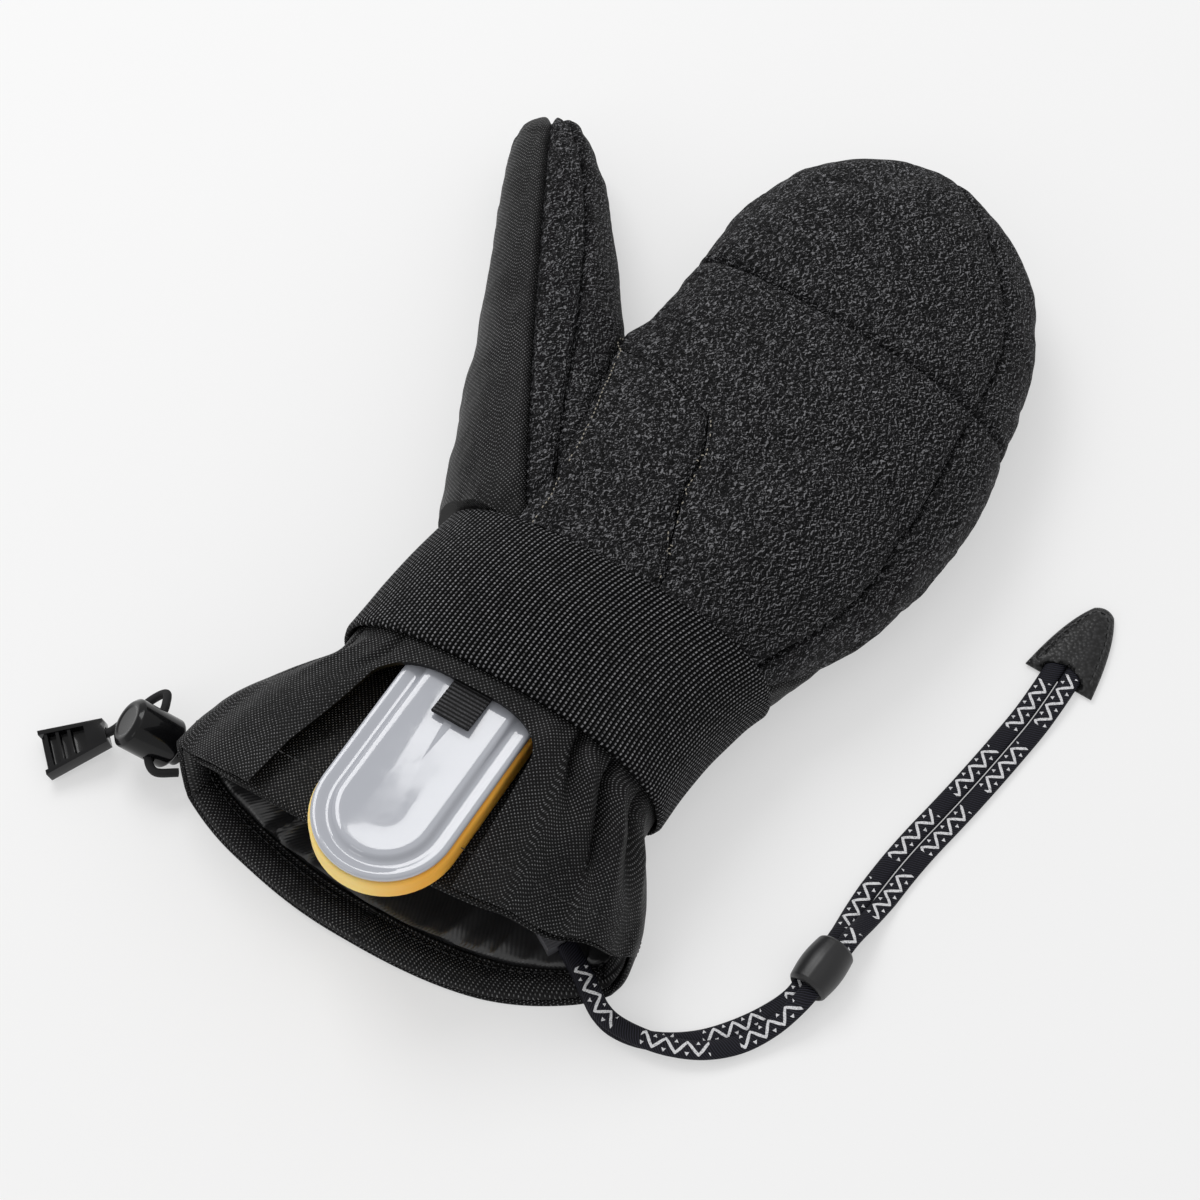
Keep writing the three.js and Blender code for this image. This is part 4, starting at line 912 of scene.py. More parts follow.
seam = {"dip": 2.3, "wide": 0.95, "puff": 0.45, "puffWide": 5.0}
backSeam, handStartAt, handEnd, gussetSplit = 204, 0.0182, 0.9985, 0.62
thumbStartAt, thumbEnd, thumbOuterTurn, thumbInnerTurn = -0.30, 0.9975, 190, -24
patchSeam = {"at": [0.015, 0.145, 0.177, 0.255, 0.332, 0.394], "x": [0.165, 0.164, 0.139, 0.090, 0.066, 0.016]}
patchTop = {"u": [0.0, 0.12, 0.32, 0.60, 1.0], "at": [0.392, 0.412, 0.443, 0.452, 0.452]}
tipSeam = {"u": [0.0, 0.30, 0.55, 0.75, 0.90, 1.0], "at": [0.620, 0.634, 0.655, 0.668, 0.650, 0.625]}


def turnOfShare(share):  # angle round a section at a share of its half width
    share = np.clip(share, -1, 1)
    return np.degrees(np.arccos(np.sign(share) * np.abs(share) ** (1 / hand["square"])))


def palmTurn(at, x):
    left, right = sideEdges(hand, at)
    return turnOfShare((2 * x - left - right) / (right - left))


def patchTurn(at):
    return palmTurn(at, read(patchSeam, "x", at) * hand["width"])


def edgeTurn(at):
    return turnOfShare(read(hand["rows"], "edge", at))


def underTurn(at):
    return lerp(8, -24, smooth((at - 0.1) / 0.18))


def ridgeTurn(at):
    left, right = read(thumb["rows"], "left", at), read(thumb["rows"], "right", at)
    return np.degrees(np.arccos(np.clip((0.03 - left - right) / (right - left), -1, 1)))


def grooveTurn(at):
    return turnOfShare(read(thumb["rows"], "groove", at))


def halfWidth(form, at):
    return (read(form["rows"], "right", at) - read(form["rows"], "left", at)) * form["width"] / 2


def level(value):
    return lambda x: np.full_like(np.asarray(x, float), value)


handPanels = {
    "thenar_patch": {"from": patchTurn, "to": level(backSeam),
                     "start": level(handStartAt), "end": lambda u: read(patchTop, "at", u, "u"),
                     "slot": "grip_cloth"},
    "side_gusset_tip": {"from": underTurn, "to": edgeTurn, "start": level(gussetSplit), "end": level(handEnd),
                        "slot": "grip_cloth"},
    "side_gusset": {"from": underTurn, "to": edgeTurn, "start": level(handStartAt), "end": level(gussetSplit),
                    "slot": "grip_cloth"},
    "fingertip_panel": {"from": edgeTurn, "to": level(backSeam), "start": lambda u: read(tipSeam, "at", u, "u"),
                        "end": level(handEnd), "slot": "grip_cloth"},
    "palm_panel": {"from": edgeTurn, "to": level(backSeam), "start": level(handStartAt),
                   "end": lambda u: read(tipSeam, "at", u, "u"), "slot": "grip_cloth", "cutBy": "thenar_patch"},
    "back_shell": {"from": level(backSeam), "to": lambda at: 360 + underTurn(at), "start": level(handStartAt),
                   "end": level(handEnd), "slot": "woven_shell", "step": 1.6},
}
thumbPanels = {
    "thumb_woven_strip": {"from": ridgeTurn, "to": level(thumbOuterTurn), "slot": "woven_shell"},
    "thumb_front_strip": {"from": grooveTurn, "to": ridgeTurn, "slot": "grip_cloth"},
    "thumb_inner_strip": {"from": level(thumbInnerTurn), "to": grooveTurn, "slot": "grip_cloth"},
    "thumb_under_strip": {"from": level(thumbOuterTurn), "to": level(360 + thumbInnerTurn), "slot": "woven_shell",
                          "step": 1.6},
}
for lines in thumbPanels.values():
    lines.update({"start": level(thumbStartAt), "end": level(thumbEnd)})


def formMeasure(form, points):  # share of the way out from the middle of the hand or thumb, 1 on its surface
    if form is hand:
        at, across = points[..., 1] / hand["length"], points[..., 0]
    else:
        lean = math.radians(thumb["lean"])
        dx, dy = points[..., 0] - thumb["rootX"], points[..., 1] - thumb["rootY"]
        at = (-dx * math.sin(lean) + dy * math.cos(lean)) / thumb["length"]
        across = dx * math.cos(lean) + dy * math.sin(lean)
    rows, thick, middle = form["rows"], form["thick"], form["middle"] * form["thick"]
    left, right = sideEdges(form, at)
    side = np.abs(across - (left + right) / 2) / np.maximum((right - left) / 2, 0.5)
    up = (points[..., 2] - middle)
    low = np.minimum(read(rows, "low", at) * thick, 0)
    high = np.where(up > 0, read(rows, "top", at) * thick - middle, middle - low)
    power = 2 / hand["square"]
    share = (side ** power + (np.abs(up) / np.maximum(high, 0.5)) ** power) ** (1 / power)
    return share, at, np.minimum((right - left) / 2, np.maximum(high, 0.5))


def panelGrid(form, lines, edge=0.05, counts=None):
    point = handPoint if form is hand else thumbPoint
    reach, step = form["length"], lines.get("step", 1.05)

    def place(u, v):
        ends = [np.arcsin(np.clip(lines[k](u) + s * edge / reach, -1, 1)) for k, s in (("start", 1), ("end", -1))]
        at = np.sin(lerp(ends[0], ends[1], v))
        gap = np.degrees(edge / np.maximum(3, halfWidth(form, at)))
        return at, lerp(lines["from"](at) + gap, lines["to"](at) - gap, u)

    if counts is None:
        u, v = np.meshgrid(np.linspace(0, 1, 12), np.linspace(0, 1, 12))
        rough = point(*place(u, v), 0.0)
        across, along = arcLengths(rough)
        counts = (int((across[:, -1] - across[:, 0]).max() / step) + 8, int(along[-1].max() / step) + 8)
    spread = lambda n: np.linspace(0, 1, n) - 0.055 * np.sin(2 * np.pi * np.linspace(0, 1, n)) / 2
    u, v = np.meshgrid(spread(counts[0]), spread(counts[1]))
    at, turn = place(u, v)
    return point, at, turn


def lineDistance(points, line):
    flat = points.reshape(-1, 3)
    best = np.full(len(flat), 1e9)
    for k in range(0, len(line), 40):
        d = np.linalg.norm(flat[:, None] - line[None, k:k + 40], axis=2).min(1)
        best = np.minimum(best, d)
    return best.reshape(points.shape[:-1])


def patchEdgeLine():
    at = np.linspace(handStartAt, patchTop["at"][0], 160)
    side = handPoint(at, patchTurn(at), 0.0)
    u = np.linspace(0, 1, 160)
    at = read(patchTop, "at", u, "u")
    return side, handPoint(at, lerp(patchTurn(at), backSeam, u), 0.0)


patchSide, patchUpper = patchEdgeLine()

foldAt = np.linspace(-0.28, 0.42, 90)
foldLine = thumbPoint(foldAt, grooveTurn(foldAt), 0.0)

heel = {  # the heel of the palm swells below a curved crease; middle and half size are shares of the hand
    "middle": (0.385, 0.29), "half": (0.20, 0.13), "rise": 3.2, "reach": 1.35,
    "crease": 1.5, "creaseAt": 1.16, "creaseWide": 0.10, "creaseFrom": 52,
    "dents": [  # x, y, spread, depth in mm
        (32.9, 77.3, 5.0, 1.3), (48.8, 72.6, 5.5, 1.1), (35.3, 59.3, 6.0, 1.0), (47.8, 92.2, 7.0, 1.2),
        (25.6, 31.0, 5.0, 1.4),
    ],
}
junction = {"palmClimb": 2.4, "climbWide": 4.5, "palmGroove": 1.6, "thumbGroove": 1.2, "above": 20}


def heelLift(points):
    x, y = points[..., 0], points[..., 1]
    dx = (x - heel["middle"][0] * hand["width"]) / (heel["half"][0] * hand["width"])
    dy = (y - heel["middle"][1] * hand["length"]) / (heel["half"][1] * hand["length"])
    far = np.hypot(dx, dy)
    crease = heel["crease"] * hump(far - heel["creaseAt"], heel["creaseWide"])
    lift = heel["rise"] * smooth(heel["reach"] - far) - crease * smooth((y - heel["creaseFrom"]) / 12)
    for dentX, dentY, wide, deep in heel["dents"]:
        lift = lift - deep * hump(np.hypot(x - dentX, y - dentY), wide)
    return lift


def surfaceNormals(form, base):  # they point out of the hand or thumb
    centre = base.mean(axis=1, keepdims=True) * [1, 1, 0] + [0, 0, form["middle"] * form["thick"]]
    normals = unit(np.cross(np.gradient(base, axis=1), np.gradient(base, axis=0)))
    inside = np.sign(np.sum(normals * (base - centre), -1).mean())
    return normals * (inside if inside else 1)


def seamProfile(distance, depth=1.0):
    groove = -seam["dip"] * depth * hump(distance, seam["wide"], 1.6)
    return groove + seam["puff"] * (1 - hump(distance, seam["puffWide"], 1.5))


def panelShell(name, form, lines, room=False):
    point, at, turn = panelGrid(form, lines, -0.25 if room else 0.05)
    wall = form["wall"]
    if room:
        return shellMesh(name + "Room", point(at, turn, -5.0), point(at, turn, wall + 1.5))
    base = point(at, turn, 0.0)
    normals = surfaceNormals(form, base)
    raised = base[..., 2] > junction["above"]
    across, along = arcLengths(base)
    toSides = np.minimum(across - across[:, :1], across[:, -1:] - across)
    toEdge = np.minimum(toSides, np.minimum(along, along[-1:] - along))
    if name == "thenar_patch":  # its upper seam hardly shows
        lift = seamProfile(toSides, 0.45) + 0.45 - 0.25 * hump(toEdge, 0.7)
        toGroove = np.hypot(base[..., None, 0] - foldLine[:, 0], base[..., None, 1] - foldLine[:, 1]).min(-1)
        lift = lift - 1.5 * hump(toGroove, 0.9, 1.6) * raised
    else:
        lift = seamProfile(toEdge)
    if name == "palm_panel":
        toSide, toUpper = lineDistance(base, patchSide), lineDistance(base, patchUpper)
        lift = lift + heelLift(base) - 0.7 * hump(toSide, 0.9) - 0.2 * hump(toUpper, 0.7)
        toEdge = np.minimum(toEdge, np.minimum(toSide, toUpper))
    share, otherAt, radius = formMeasure(thumb if form is hand else hand, base)
    meets = (otherAt < 0.55) if form is hand else (otherAt > 0.02)
    toOther = np.where(meets, np.maximum(share - 1, 0) * radius, 99)
    if form is hand:  # the palm's cloth climbs to the thumb's
        lift = lift + junction["palmClimb"] * hump(toOther, junction["climbWide"]) * raised
        lift = lift - junction["palmGroove"] * hump(toOther, 1.0, 1.6) * raised
    else:
        lift = lift - junction["thumbGroove"] * hump(toOther - 0.8, 1.1) * raised
    away = 1 - hump(toEdge, 4.0)
    lift = lift + wrinkles(base, toEdge, away)
    if name in padding:
        lift = lift + resample(padding[name], base.shape[:2]) * away
    lift = np.where(lift > 0, lift * smooth((base[..., 2] - 1.0) / 6.0), lift)
    outer = base + normals * lift[..., None]
    outer[..., 2] = np.maximum(outer[..., 2], 0.15)
    return shellMesh(name, outer, point(at, turn, wall))


def wrinkles(base, toEdge, away):
    soft = 0.34 * cloudy(base, 17.0) + 0.20 * cloudy(base, 8.0, 3.3)
    fine = 0.13 * cloudy(base, 3.2, 5.1)
    pucker = 0.40 * cloudy(base, 4.2, 9.7) * np.exp(-toEdge / 4.5)
    return away * (soft + fine) + pucker


billow = {  # the shell cloth under its fill's pressure; share and limit (mm) say how much of the swell is kept
    "columns": 44, "rows": 52, "frames": 16, "share": 0.35, "limit": 1.0,
    "settings": {"quality": 5, "mass": 0.25, "tension_stiffness": 12, "compression_stiffness": 12,
                 "shear_stiffness": 6, "bending_stiffness": 0.25, "vertex_group_mass": "sewn",
                 "use_pressure": True, "uniform_pressure_force": 2.2, "shrink_min": -0.045},
}
padding = {}


def simulatePadding():  # the shell cloth swells and wrinkles between its seams
    scene = bpy.context.scene
    cloths = []
    for form, panels in ((hand, handPanels), (thumb, thumbPanels)):
        for name, lines in panels.items():
            narrow = "gusset" in name or "front" in name
            counts = (billow["columns"] // (2 if narrow else 1), billow["rows"])
            point, at, turn = panelGrid(form, lines, counts=counts)
            base = point(at, turn, 0.0)
            normals = surfaceNormals(form, base)
            base = base + normals * 0.25 * cloudy(base, 13.0, 8.2)[..., None]
            faces = quads(*counts)
            if np.sum(np.cross(base[0, 1] - base[0, 0], base[1, 0] - base[0, 0]) * normals[0, 0]) < 0:
                faces = faces[:, ::-1]
            sheet = addNew("billow", newMesh("billow", (base.reshape(-1, 3) * mm).tolist(), faces.tolist()))
            edge = np.zeros(base.shape[:2], bool)
            edge[[0, -1], :] = edge[:, [0, -1]] = True
            sheet.vertex_groups.new(name="sewn").add(np.nonzero(edge.reshape(-1))[0].tolist(), 1.0, "REPLACE")
            settings = sheet.modifiers.new("cloth", "CLOTH").settings
            for key, value in billow["settings"].items():
                setattr(settings, key, value)
            settings.effector_weights.gravity = 0
            cloths.append((name, sheet, base, normals))
    for number in range(1, billow["frames"] + 1):
        scene.frame_set(number)
    depsgraph = bpy.context.evaluated_depsgraph_get()
    for name, sheet, base, normals in cloths:
        mesh = sheet.evaluated_get(depsgraph).to_mesh()
        moved = np.empty(len(mesh.vertices) * 3)
        mesh.vertices.foreach_get("co", moved)
        rise = np.sum((moved.reshape(base.shape) / mm - base) * normals, -1)
        padding[name] = np.clip(billow["share"] * rise, -billow["limit"], billow["limit"])
        print("billow", name, "from", round(float(rise.min()), 2), "to", round(float(rise.max()), 2), "mm")
    dropTools(*(sheet for _, sheet, _, _ in cloths))
    scene.frame_set(1)


def resample(field, shape):
    rows, columns = field.shape
    v, u = np.meshgrid(np.linspace(0, rows - 1, shape[0]), np.linspace(0, columns - 1, shape[1]), indexing="ij")
    j, i = np.minimum(v.astype(int), rows - 2), np.minimum(u.astype(int), columns - 2)
    fv, fu = smooth(v - j), smooth(u - i)
    return lerp(lerp(field[j, i], field[j, i + 1], fu), lerp(field[j + 1, i], field[j + 1, i + 1], fu), fv)


def wholeForm(name, form, start, end, inset):
    point = handPoint if form is hand else thumbPoint
    at = np.sin(np.linspace(math.asin(start), math.asin(end), 90))[:, None]
    turn = (360 * np.arange(128) / 128)[None, :]
    return loftMesh(name, point(at, turn, inset))


def strapRoom():
    at = np.array([-0.012, 0.25, 0.5, 0.75, 1.012])[:, None]
    turn = (360 * np.arange(180) / 180)[None, :]
    inner = strapPoint(at, turn, strap["thick"] + 0.1)
    way = np.stack(np.broadcast_arrays(np.cos(np.radians(turn)), 0.0, np.sin(np.radians(turn))), -1)
    return shellMesh("strapRoom", inner + way * 15, inner, wrap=True)


def boxMesh(name, low, high):
    corners = np.array([[x, y, z] for z in (low[2], high[2]) for x, y in
                        ((low[0], low[1]), (high[0], low[1]), (high[0], high[1]), (low[0], high[1]))])
    return loftMesh(name, corners.reshape(2, 4, 3))


def finishPanel(name, mesh, slotName):
    mesh.set_sharp_from_angle(angle=math.radians(55))
    piece = addObject("sewn_" + name, mesh, slotName)
    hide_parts(name)
    return piece


def largestPart(mesh):  # drops the crumbs that a cut leaves
    work = bmesh.new()
    work.from_mesh(mesh)
    work.verts.ensure_lookup_table()
    seen, parts = set(), []
    for start in work.verts:
        if start.index in seen:
            continue
        group, queue = [], [start]
        seen.add(start.index)
        while queue:
            v = queue.pop()
            group.append(v)
            for e in v.link_edges:
                o = e.other_vert(v)
                if o.index not in seen:
                    seen.add(o.index)
                    queue.append(o)
        parts.append(group)
    parts.sort(key=len)
    for group in parts[:-1]:
        bmesh.ops.delete(work, geom=group, context="VERTS")
    work.to_mesh(mesh)
    work.free()
    return mesh


def makePanels():
    made = {}
    thumbRoom = cutter(wholeForm("thumbRoom", thumb, thumbStartAt, thumbEnd, -0.5))
    handRoom = cutter(wholeForm("handRoom", hand, hand["rows"]["at"][0], handEnd, hand["wall"]))
    strapTool = cutter(strapRoom())
    below = cutter(boxMesh("belowHand", (-200, -200, -50), (200, hand["start"], 150)))
    for name, lines in handPanels.items():
        tools = [thumbRoom, strapTool]
        if "cutBy" in lines:
            tools.append(cutter(panelShell(lines["cutBy"], hand, handPanels[lines["cutBy"]], room=True)))
        mesh = largestPart(carve(panelShell(name, hand, lines), *tools))
        dropTools(*tools[2:])
        made[name] = finishPanel(name, mesh, lines["slot"])
        print("panel", name, len(mesh.polygons))
    for name, lines in thumbPanels.items():
        mesh = largestPart(carve(panelShell(name, thumb, lines), handRoom, strapTool, below))
        made[name] = finishPanel(name, mesh, lines["slot"])
        print("panel", name, len(mesh.polygons))
    dropTools(thumbRoom, handRoom, strapTool, below)
    return made


simulatePadding()
print("padding has settled")
panels = makePanels()


def junctionLine():  # where the thumb's inner side meets the palm
    points = []
    scan = np.linspace(-0.25, 0.62, 500)
    for turn in np.linspace(8, 88, 60):
        line = thumbPoint(scan, turn, 0.0)
        inside = np.nonzero(formMeasure(hand, line)[0] < 1)[0]
        if len(inside):
            points.append(line[inside[-1]])
    return np.array(points)


creamSpecks = {"length": 0.95, "pitch": 1.8, "radius": 0.21, "raised": 0.45, "missing": 0.40,
               "thread": creamThread}


def sewHand():
    patch = panels["thenar_patch"]
    line, normals = onSurface(patchSide[patchSide[:, 1] > 27] + [0, 0, 3], patch, panels["palm_panel"])
    stitches("patch_seam_stitches", line, normals, creamSpecks, "grip_cloth")
    line, normals = onSurface(junctionLine() + [0.6, 0, 4], patch, panels["thumb_inner_strip"])
    stitches("thumb_seam_stitches", line, normals, {**creamSpecks, "missing": 0.15, "raised": 0.6}, "grip_cloth")


sewHand()
print("hand and thumb are ready")

# the wrist strap

ribbing = {"pitch": 1.5, "samples": 6, "rise": 0.42, "rows": 22, "edgeWide": 1.1, "edgeThin": 0.75}


def makeStrap():
    turn = np.linspace(0, 360, 721)
    where = travel(strapPoint(0.5, turn, 0.0))
    columns = int(round(where[-1] / ribbing["pitch"])) * ribbing["samples"]
    at = np.arange(columns) / columns * where[-1] + np.interp(270, turn, where)
    turns = (np.interp(at % where[-1], where, turn) % 360)[None, :]
    v = np.linspace(0, 1, ribbing["rows"])
    v = (v - 0.05 * np.sin(2 * np.pi * v))[:, None]
    base, inner = strapPoint(v, turns, 0.0), strapPoint(v, turns, strap["thick"])
    out = unit(base - inner)
    phase = np.arange(columns) / ribbing["samples"]
    crest = np.abs(np.sin(np.pi * phase))[None, :] ** 0.8
    fromEdge = np.minimum(v, 1 - v) * strap["width"]
    thin = ribbing["edgeThin"] * np.clip(1 - fromEdge / ribbing["edgeWide"], 0, 1) ** 2
    sag = 0.35 * cloudy(base, 26.0, 1.7) + 0.15 * cloudy(base, 9.0, 2.9)
    outer = base + out * ((crest - 1) * ribbing["rise"] - thin + sag)[..., None]
    outer[..., 2] = np.maximum(outer[..., 2], 0.1)
    inner = inner + out * thin[..., None]
    uv = np.stack(np.broadcast_arrays(phase[None, :], (v - 0.5) * strap["width"] * mm), -1)
    mesh = shellMesh("wristStrap", outer, inner, wrap=True, uv=uv)
    mesh.set_sharp_from_angle(angle=math.radians(70))
    piece = addObject("ribbed_wrist_strap", mesh, "webbing")
    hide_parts("wrist_strap")


makeStrap()
print("strap is ready")

# the cuff

cloth = {"shell": 1.6, "pocket": 1.2, "hem": 1.2, "hemWidth": 9.5, "hemSlope": 1.18, "hemStitch": 0.17,
         "lining": 1.0, "slack": 1.2, "stitchAt": 0.865}
guard = {"width": 44, "length": 98, "x": -6, "startY": 2.5, "foam": 8, "plate": 2.2, "tongue": 1.2, "margin": 6,
         "tabWidth": 12.5, "tabLength": 22, "tabThick": 1.1, "tabRib": 1.25}
guard["endY"] = guard["startY"] - guard["length"]
underShell = cloth["shell"] + seamGap
underPocket = underShell + cloth["pocket"] + cloth["slack"]
hemShare = cloth["hemWidth"] / cuff["length"] * cloth["hemSlope"]


pleats = [  # place round the cuff, drift, spread in degrees, depth in mm, from and to along the cuff
    (61, -8, 1.5, -5.0, 0.24, 0.60), (43, -4, 1.7, -5.5, 0.24, 0.84), (52, -6, 2.6, 2.4, 0.30, 0.80),
    (70, -2, 3.4, 1.8, 0.30, 0.62), (34, -3, 2.8, 2.4, 0.30, 0.84), (22, 0, 2.0, -3.4, 0.25, 0.80),
    (12, 2, 3.2, 1.6, 0.31, 0.90), (124, 5, 1.8, -2.2, 0.25, 0.54), (138, 7, 2.8, 1.3, 0.31, 0.62),
    (151, 7, 2.0, -2.6, 0.25, 0.64), (114, 3, 3.2, -1.1, 0.40, 0.78),
]


def pleatLift(at, turn):
    turn = (turn + 90) % 360 - 90
    lift = 0
    for where, drift, wide, deep, start, end in pleats:
        t = np.clip((at - start) / (end - start), 0, 1)
        near = (turn - where - drift * t) / (wide * (1 + 0.8 * t))
        lift = lift + deep * hump(near, 1) * np.sin(np.pi * t ** 0.6) ** 1.2
    return lift


def liningFold(at, turn):  # the lining hangs in folds that run towards the rim
    around = np.stack(np.broadcast_arrays(turn / 9.5 + 0.6 * np.sin(at * 7), at * 2.2, 0 * turn), -1)
    ridge = 1 - np.abs(cloudy(around, 1.0, 5.5))
    fine = 1 - np.abs(cloudy(around * [2.3, 1.4, 1], 1.0, 2.5))
    tucked = 1.6 * smooth((at - (0.94 - hemShare)) / 0.06)  # the lining drops away behind the hem
    return tucked * 0.5 - (3.6 * ridge ** 2.4 + 0.9 * fine ** 2) * smooth((at - 0.30) / 0.2)


def hemSwell(at, turn):  # the drawcord's channel is puffed, with puckers along its stitching
    t = np.clip((at - (1 - hemShare)) / hemShare, 0, 1)
    around = np.stack(np.broadcast_arrays(turn / 3.2, at * 9, 0 * turn), -1)
    channel = np.clip((t - cloth["hemStitch"]) / (1 - cloth["hemStitch"]), 0, 1)
    tuck = np.abs(cloudy(around, 1.0, 7.5))
    edge = 0.8 * hump(t - 0.05, 0.07) * (0.5 + tuck)
    return -((2.5 + 0.9 * tuck) * np.sin(np.pi * channel) ** 0.55 + edge)


def cuffSleeve(name, point, depth, atFrom, atTo, columns, rows, roundStart=False, turnFrom=0, turnTo=360,
               wave=0.5, seed=0.0, shape=None, inside=None):
    whole = turnTo - turnFrom >= 360
    turn = np.linspace(turnFrom, turnTo, columns)
    if whole:
        turn = np.linspace(turnFrom, turnTo, columns + 1)[:-1] - 90
    turn, at = turn[None, :], np.linspace(atFrom, atTo, rows)[:, None]
    base, inner = point(at, turn, 0.0), point(at, turn, depth)
    out = unit(base - inner)
    along = arcLengths(base)[1]
    shrink = np.clip(1 - (along[-1:] - along) / (depth * 0.6), 0, 1) ** 2
    if roundStart:
        shrink = np.maximum(shrink, np.clip(1 - along / (depth * 0.6), 0, 1) ** 2)
    thin = shrink * depth * 0.42
    waves = 0.8 * cloudy(base, 21.0, seed) + 0.35 * cloudy(base, 9.0, seed + 2)
    waves = waves + 0.12 * cloudy(base, 3.5, seed + 4)
    move = smooth((at - cuff["held"]) / 0.12) * wave * waves
    if shape is not None:
        move = move + shape(at, turn)
    move = move * smooth((base[..., 2] - 0.5) / 4)
    swell = inside(at, turn) if inside is not None else 0
    outer = base + out * (move - thin)[..., None]
    outer[..., 2] = np.maximum(outer[..., 2], 0.1)
    return shellMesh(name, outer, inner + out * (move + swell + thin)[..., None], wrap=whole)


def pocketMouth():
    half, archY = guard["width"] / 2, -strap["width"] / 2 - 5.5
    right, left = guard["x"] + half + 4, guard["x"] - half - 2
    nearSide = bend((right, archY - 9), (right - 2, archY - 1), (guard["x"] + 0.45 * half, archY), 14)
    farSide = bend((guard["x"] - 0.45 * half, archY), (left + 1, archY - 1), (left - 4, archY - 8), 14)
    outline = [(right - 1, -130), *nearSide, *farSide, (left - 14, archY - 36), (left - 26, -130)]
    base = cuff["middle"] * cuff["height"] + 6
    rings = np.array([[(x, y, z) for x, y in outline] for z in (base, base + 60)])
    return cutter(loftMesh("pocketMouth", rings))


def pocketPoint(at, turn, depth):
    return cuffPoint(at, turn, underShell + depth, "base")


def innerCuff(at, turn, depth):
    return cuffPoint(at, turn, underShell + cloth["slack"] / 2 + depth, "base", underPocket + depth)


def makeCuff():
    mouth = pocketMouth()
    mesh = cuffSleeve("gauntlet", cuffPoint, cloth["shell"], 0, 1, 400, 100, wave=0.7, seed=1.3, shape=pleatLift)
    mesh = largestPart(carve(mesh, mouth))
    dropTools(mouth)
    gauntlet = addObject("woven_gauntlet", mesh, "woven_shell")
    mesh = cuffSleeve("pocketBase", pocketPoint, cloth["pocket"], 0, 1, 130, 80, turnFrom=50, turnTo=140,
                      wave=0.25, seed=4.1)
    pocket = addObject("pocket_back", mesh, "woven_shell")
    mesh = cuffSleeve("cuffHem", innerCuff, cloth["hem"], 1 - hemShare, 1, 420, 18, roundStart=True,
                      wave=0.25, seed=1.3, inside=hemSwell)
    hem = addObject("inner_hem", mesh, "woven_shell")
    end = 1 - hemShare - seamGap / cuff["length"]
    mesh = cuffSleeve("cuffLining", innerCuff, cloth["lining"], 0, end, 420, 80, wave=0.3, seed=6.4,
                      inside=liningFold)
    lining = addObject("satin_lining", mesh, "satin_lining")
    turn = np.linspace(-85, 265, 700)
    blackSpecks = {"length": 1.7, "pitch": 2.5, "radius": 0.17, "raised": 0.05, "thread": blackThread}
    line, normals = onSurface(cuffPoint(cloth["stitchAt"], turn, -6.0), gauntlet)
    near = np.linalg.norm(line - cuffPoint(cloth["stitchAt"], turn, 0.0), axis=1) < 4
    stitches("gauntlet_hem_stitches", line[near], normals[near], blackSpecks, "woven_shell")
    line, normals = onSurface(innerCuff(1 - hemShare * (1 - cloth["hemStitch"]), turn, 6.0), hem)
    stitches("inner_hem_stitches", line, normals, {**blackSpecks, "raised": 0.25, "radius": 0.24}, "woven_shell")
    for piece, node in ((gauntlet, "gauntlet"), (pocket, "pocket_base"), (hem, "cuff_hem"),
                        (lining, "cuff_lining")):
        piece.data.set_sharp_from_angle(angle=math.radians(60))
        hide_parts(node)
    return gauntlet, pocket, hem, lining


gauntlet, pocketBack, innerHem, satinLining = makeCuff()
rimRound = travel(cuffPoint(0.9, np.linspace(0, 360, 361), 0.0))[-1] * mm
cuffReach = (0.98 * cuff["length"] + cuff["start"]) * mm
pocketAcross = rimRound * 0.36


def flatArea(piece):  # one side of a thin layer
    work = bmesh.new()
    work.from_mesh(piece.data)
    area = sum(face.calc_area() for face in work.faces) / 2
    work.free()
    return area


for piece, size, held in (
        (gauntlet, (rimRound, cuffReach), "gathered"),
        (pocketBack, (pocketAcross, cuffReach), "stretched"),
        (innerHem, (rimRound, 1.25 * cloth["hemWidth"] * mm), "stretched"),
        (satinLining, (rimRound, cuffReach - cloth["hemWidth"] * mm), "gathered")):
    area = flatArea(piece)
    print("sheet", piece.name, "one side", round(area, 5), "flat", [round(x, 4) for x in size])
print("cuff is ready")

# the wrist guard: foam, glossy plate and tab


def guardOutline(inset, startInset=0.0, steps=30):
    half, endY, startY = guard["width"] / 2 - inset, guard["endY"] + inset, guard["startY"] - startInset
    x = guard["x"]
    roundEnd = [(x + half * math.cos(a), endY + half - half * math.sin(a))
                for a in np.linspace(0, math.pi, steps)]
    side = np.linspace(startY, endY + half, 14)
    return np.array([(x + half, y) for y in side[:-1]] + roundEnd + [(x - half, y) for y in side[::-1][1:]])


def slabMesh(name, steps):
    rings = []
    for inset, startInset, z in steps:
        outline = guardOutline(inset, startInset)
        rings.append(np.concatenate([outline, np.full((len(outline), 1), z)], 1))
    return loftMesh(name, np.array(rings))


guardBase = cuff["height"] * cuff["rows"]["base"][0] - underShell + seamGap + 0.2
plateBase = guardBase + guard["foam"] + seamGap


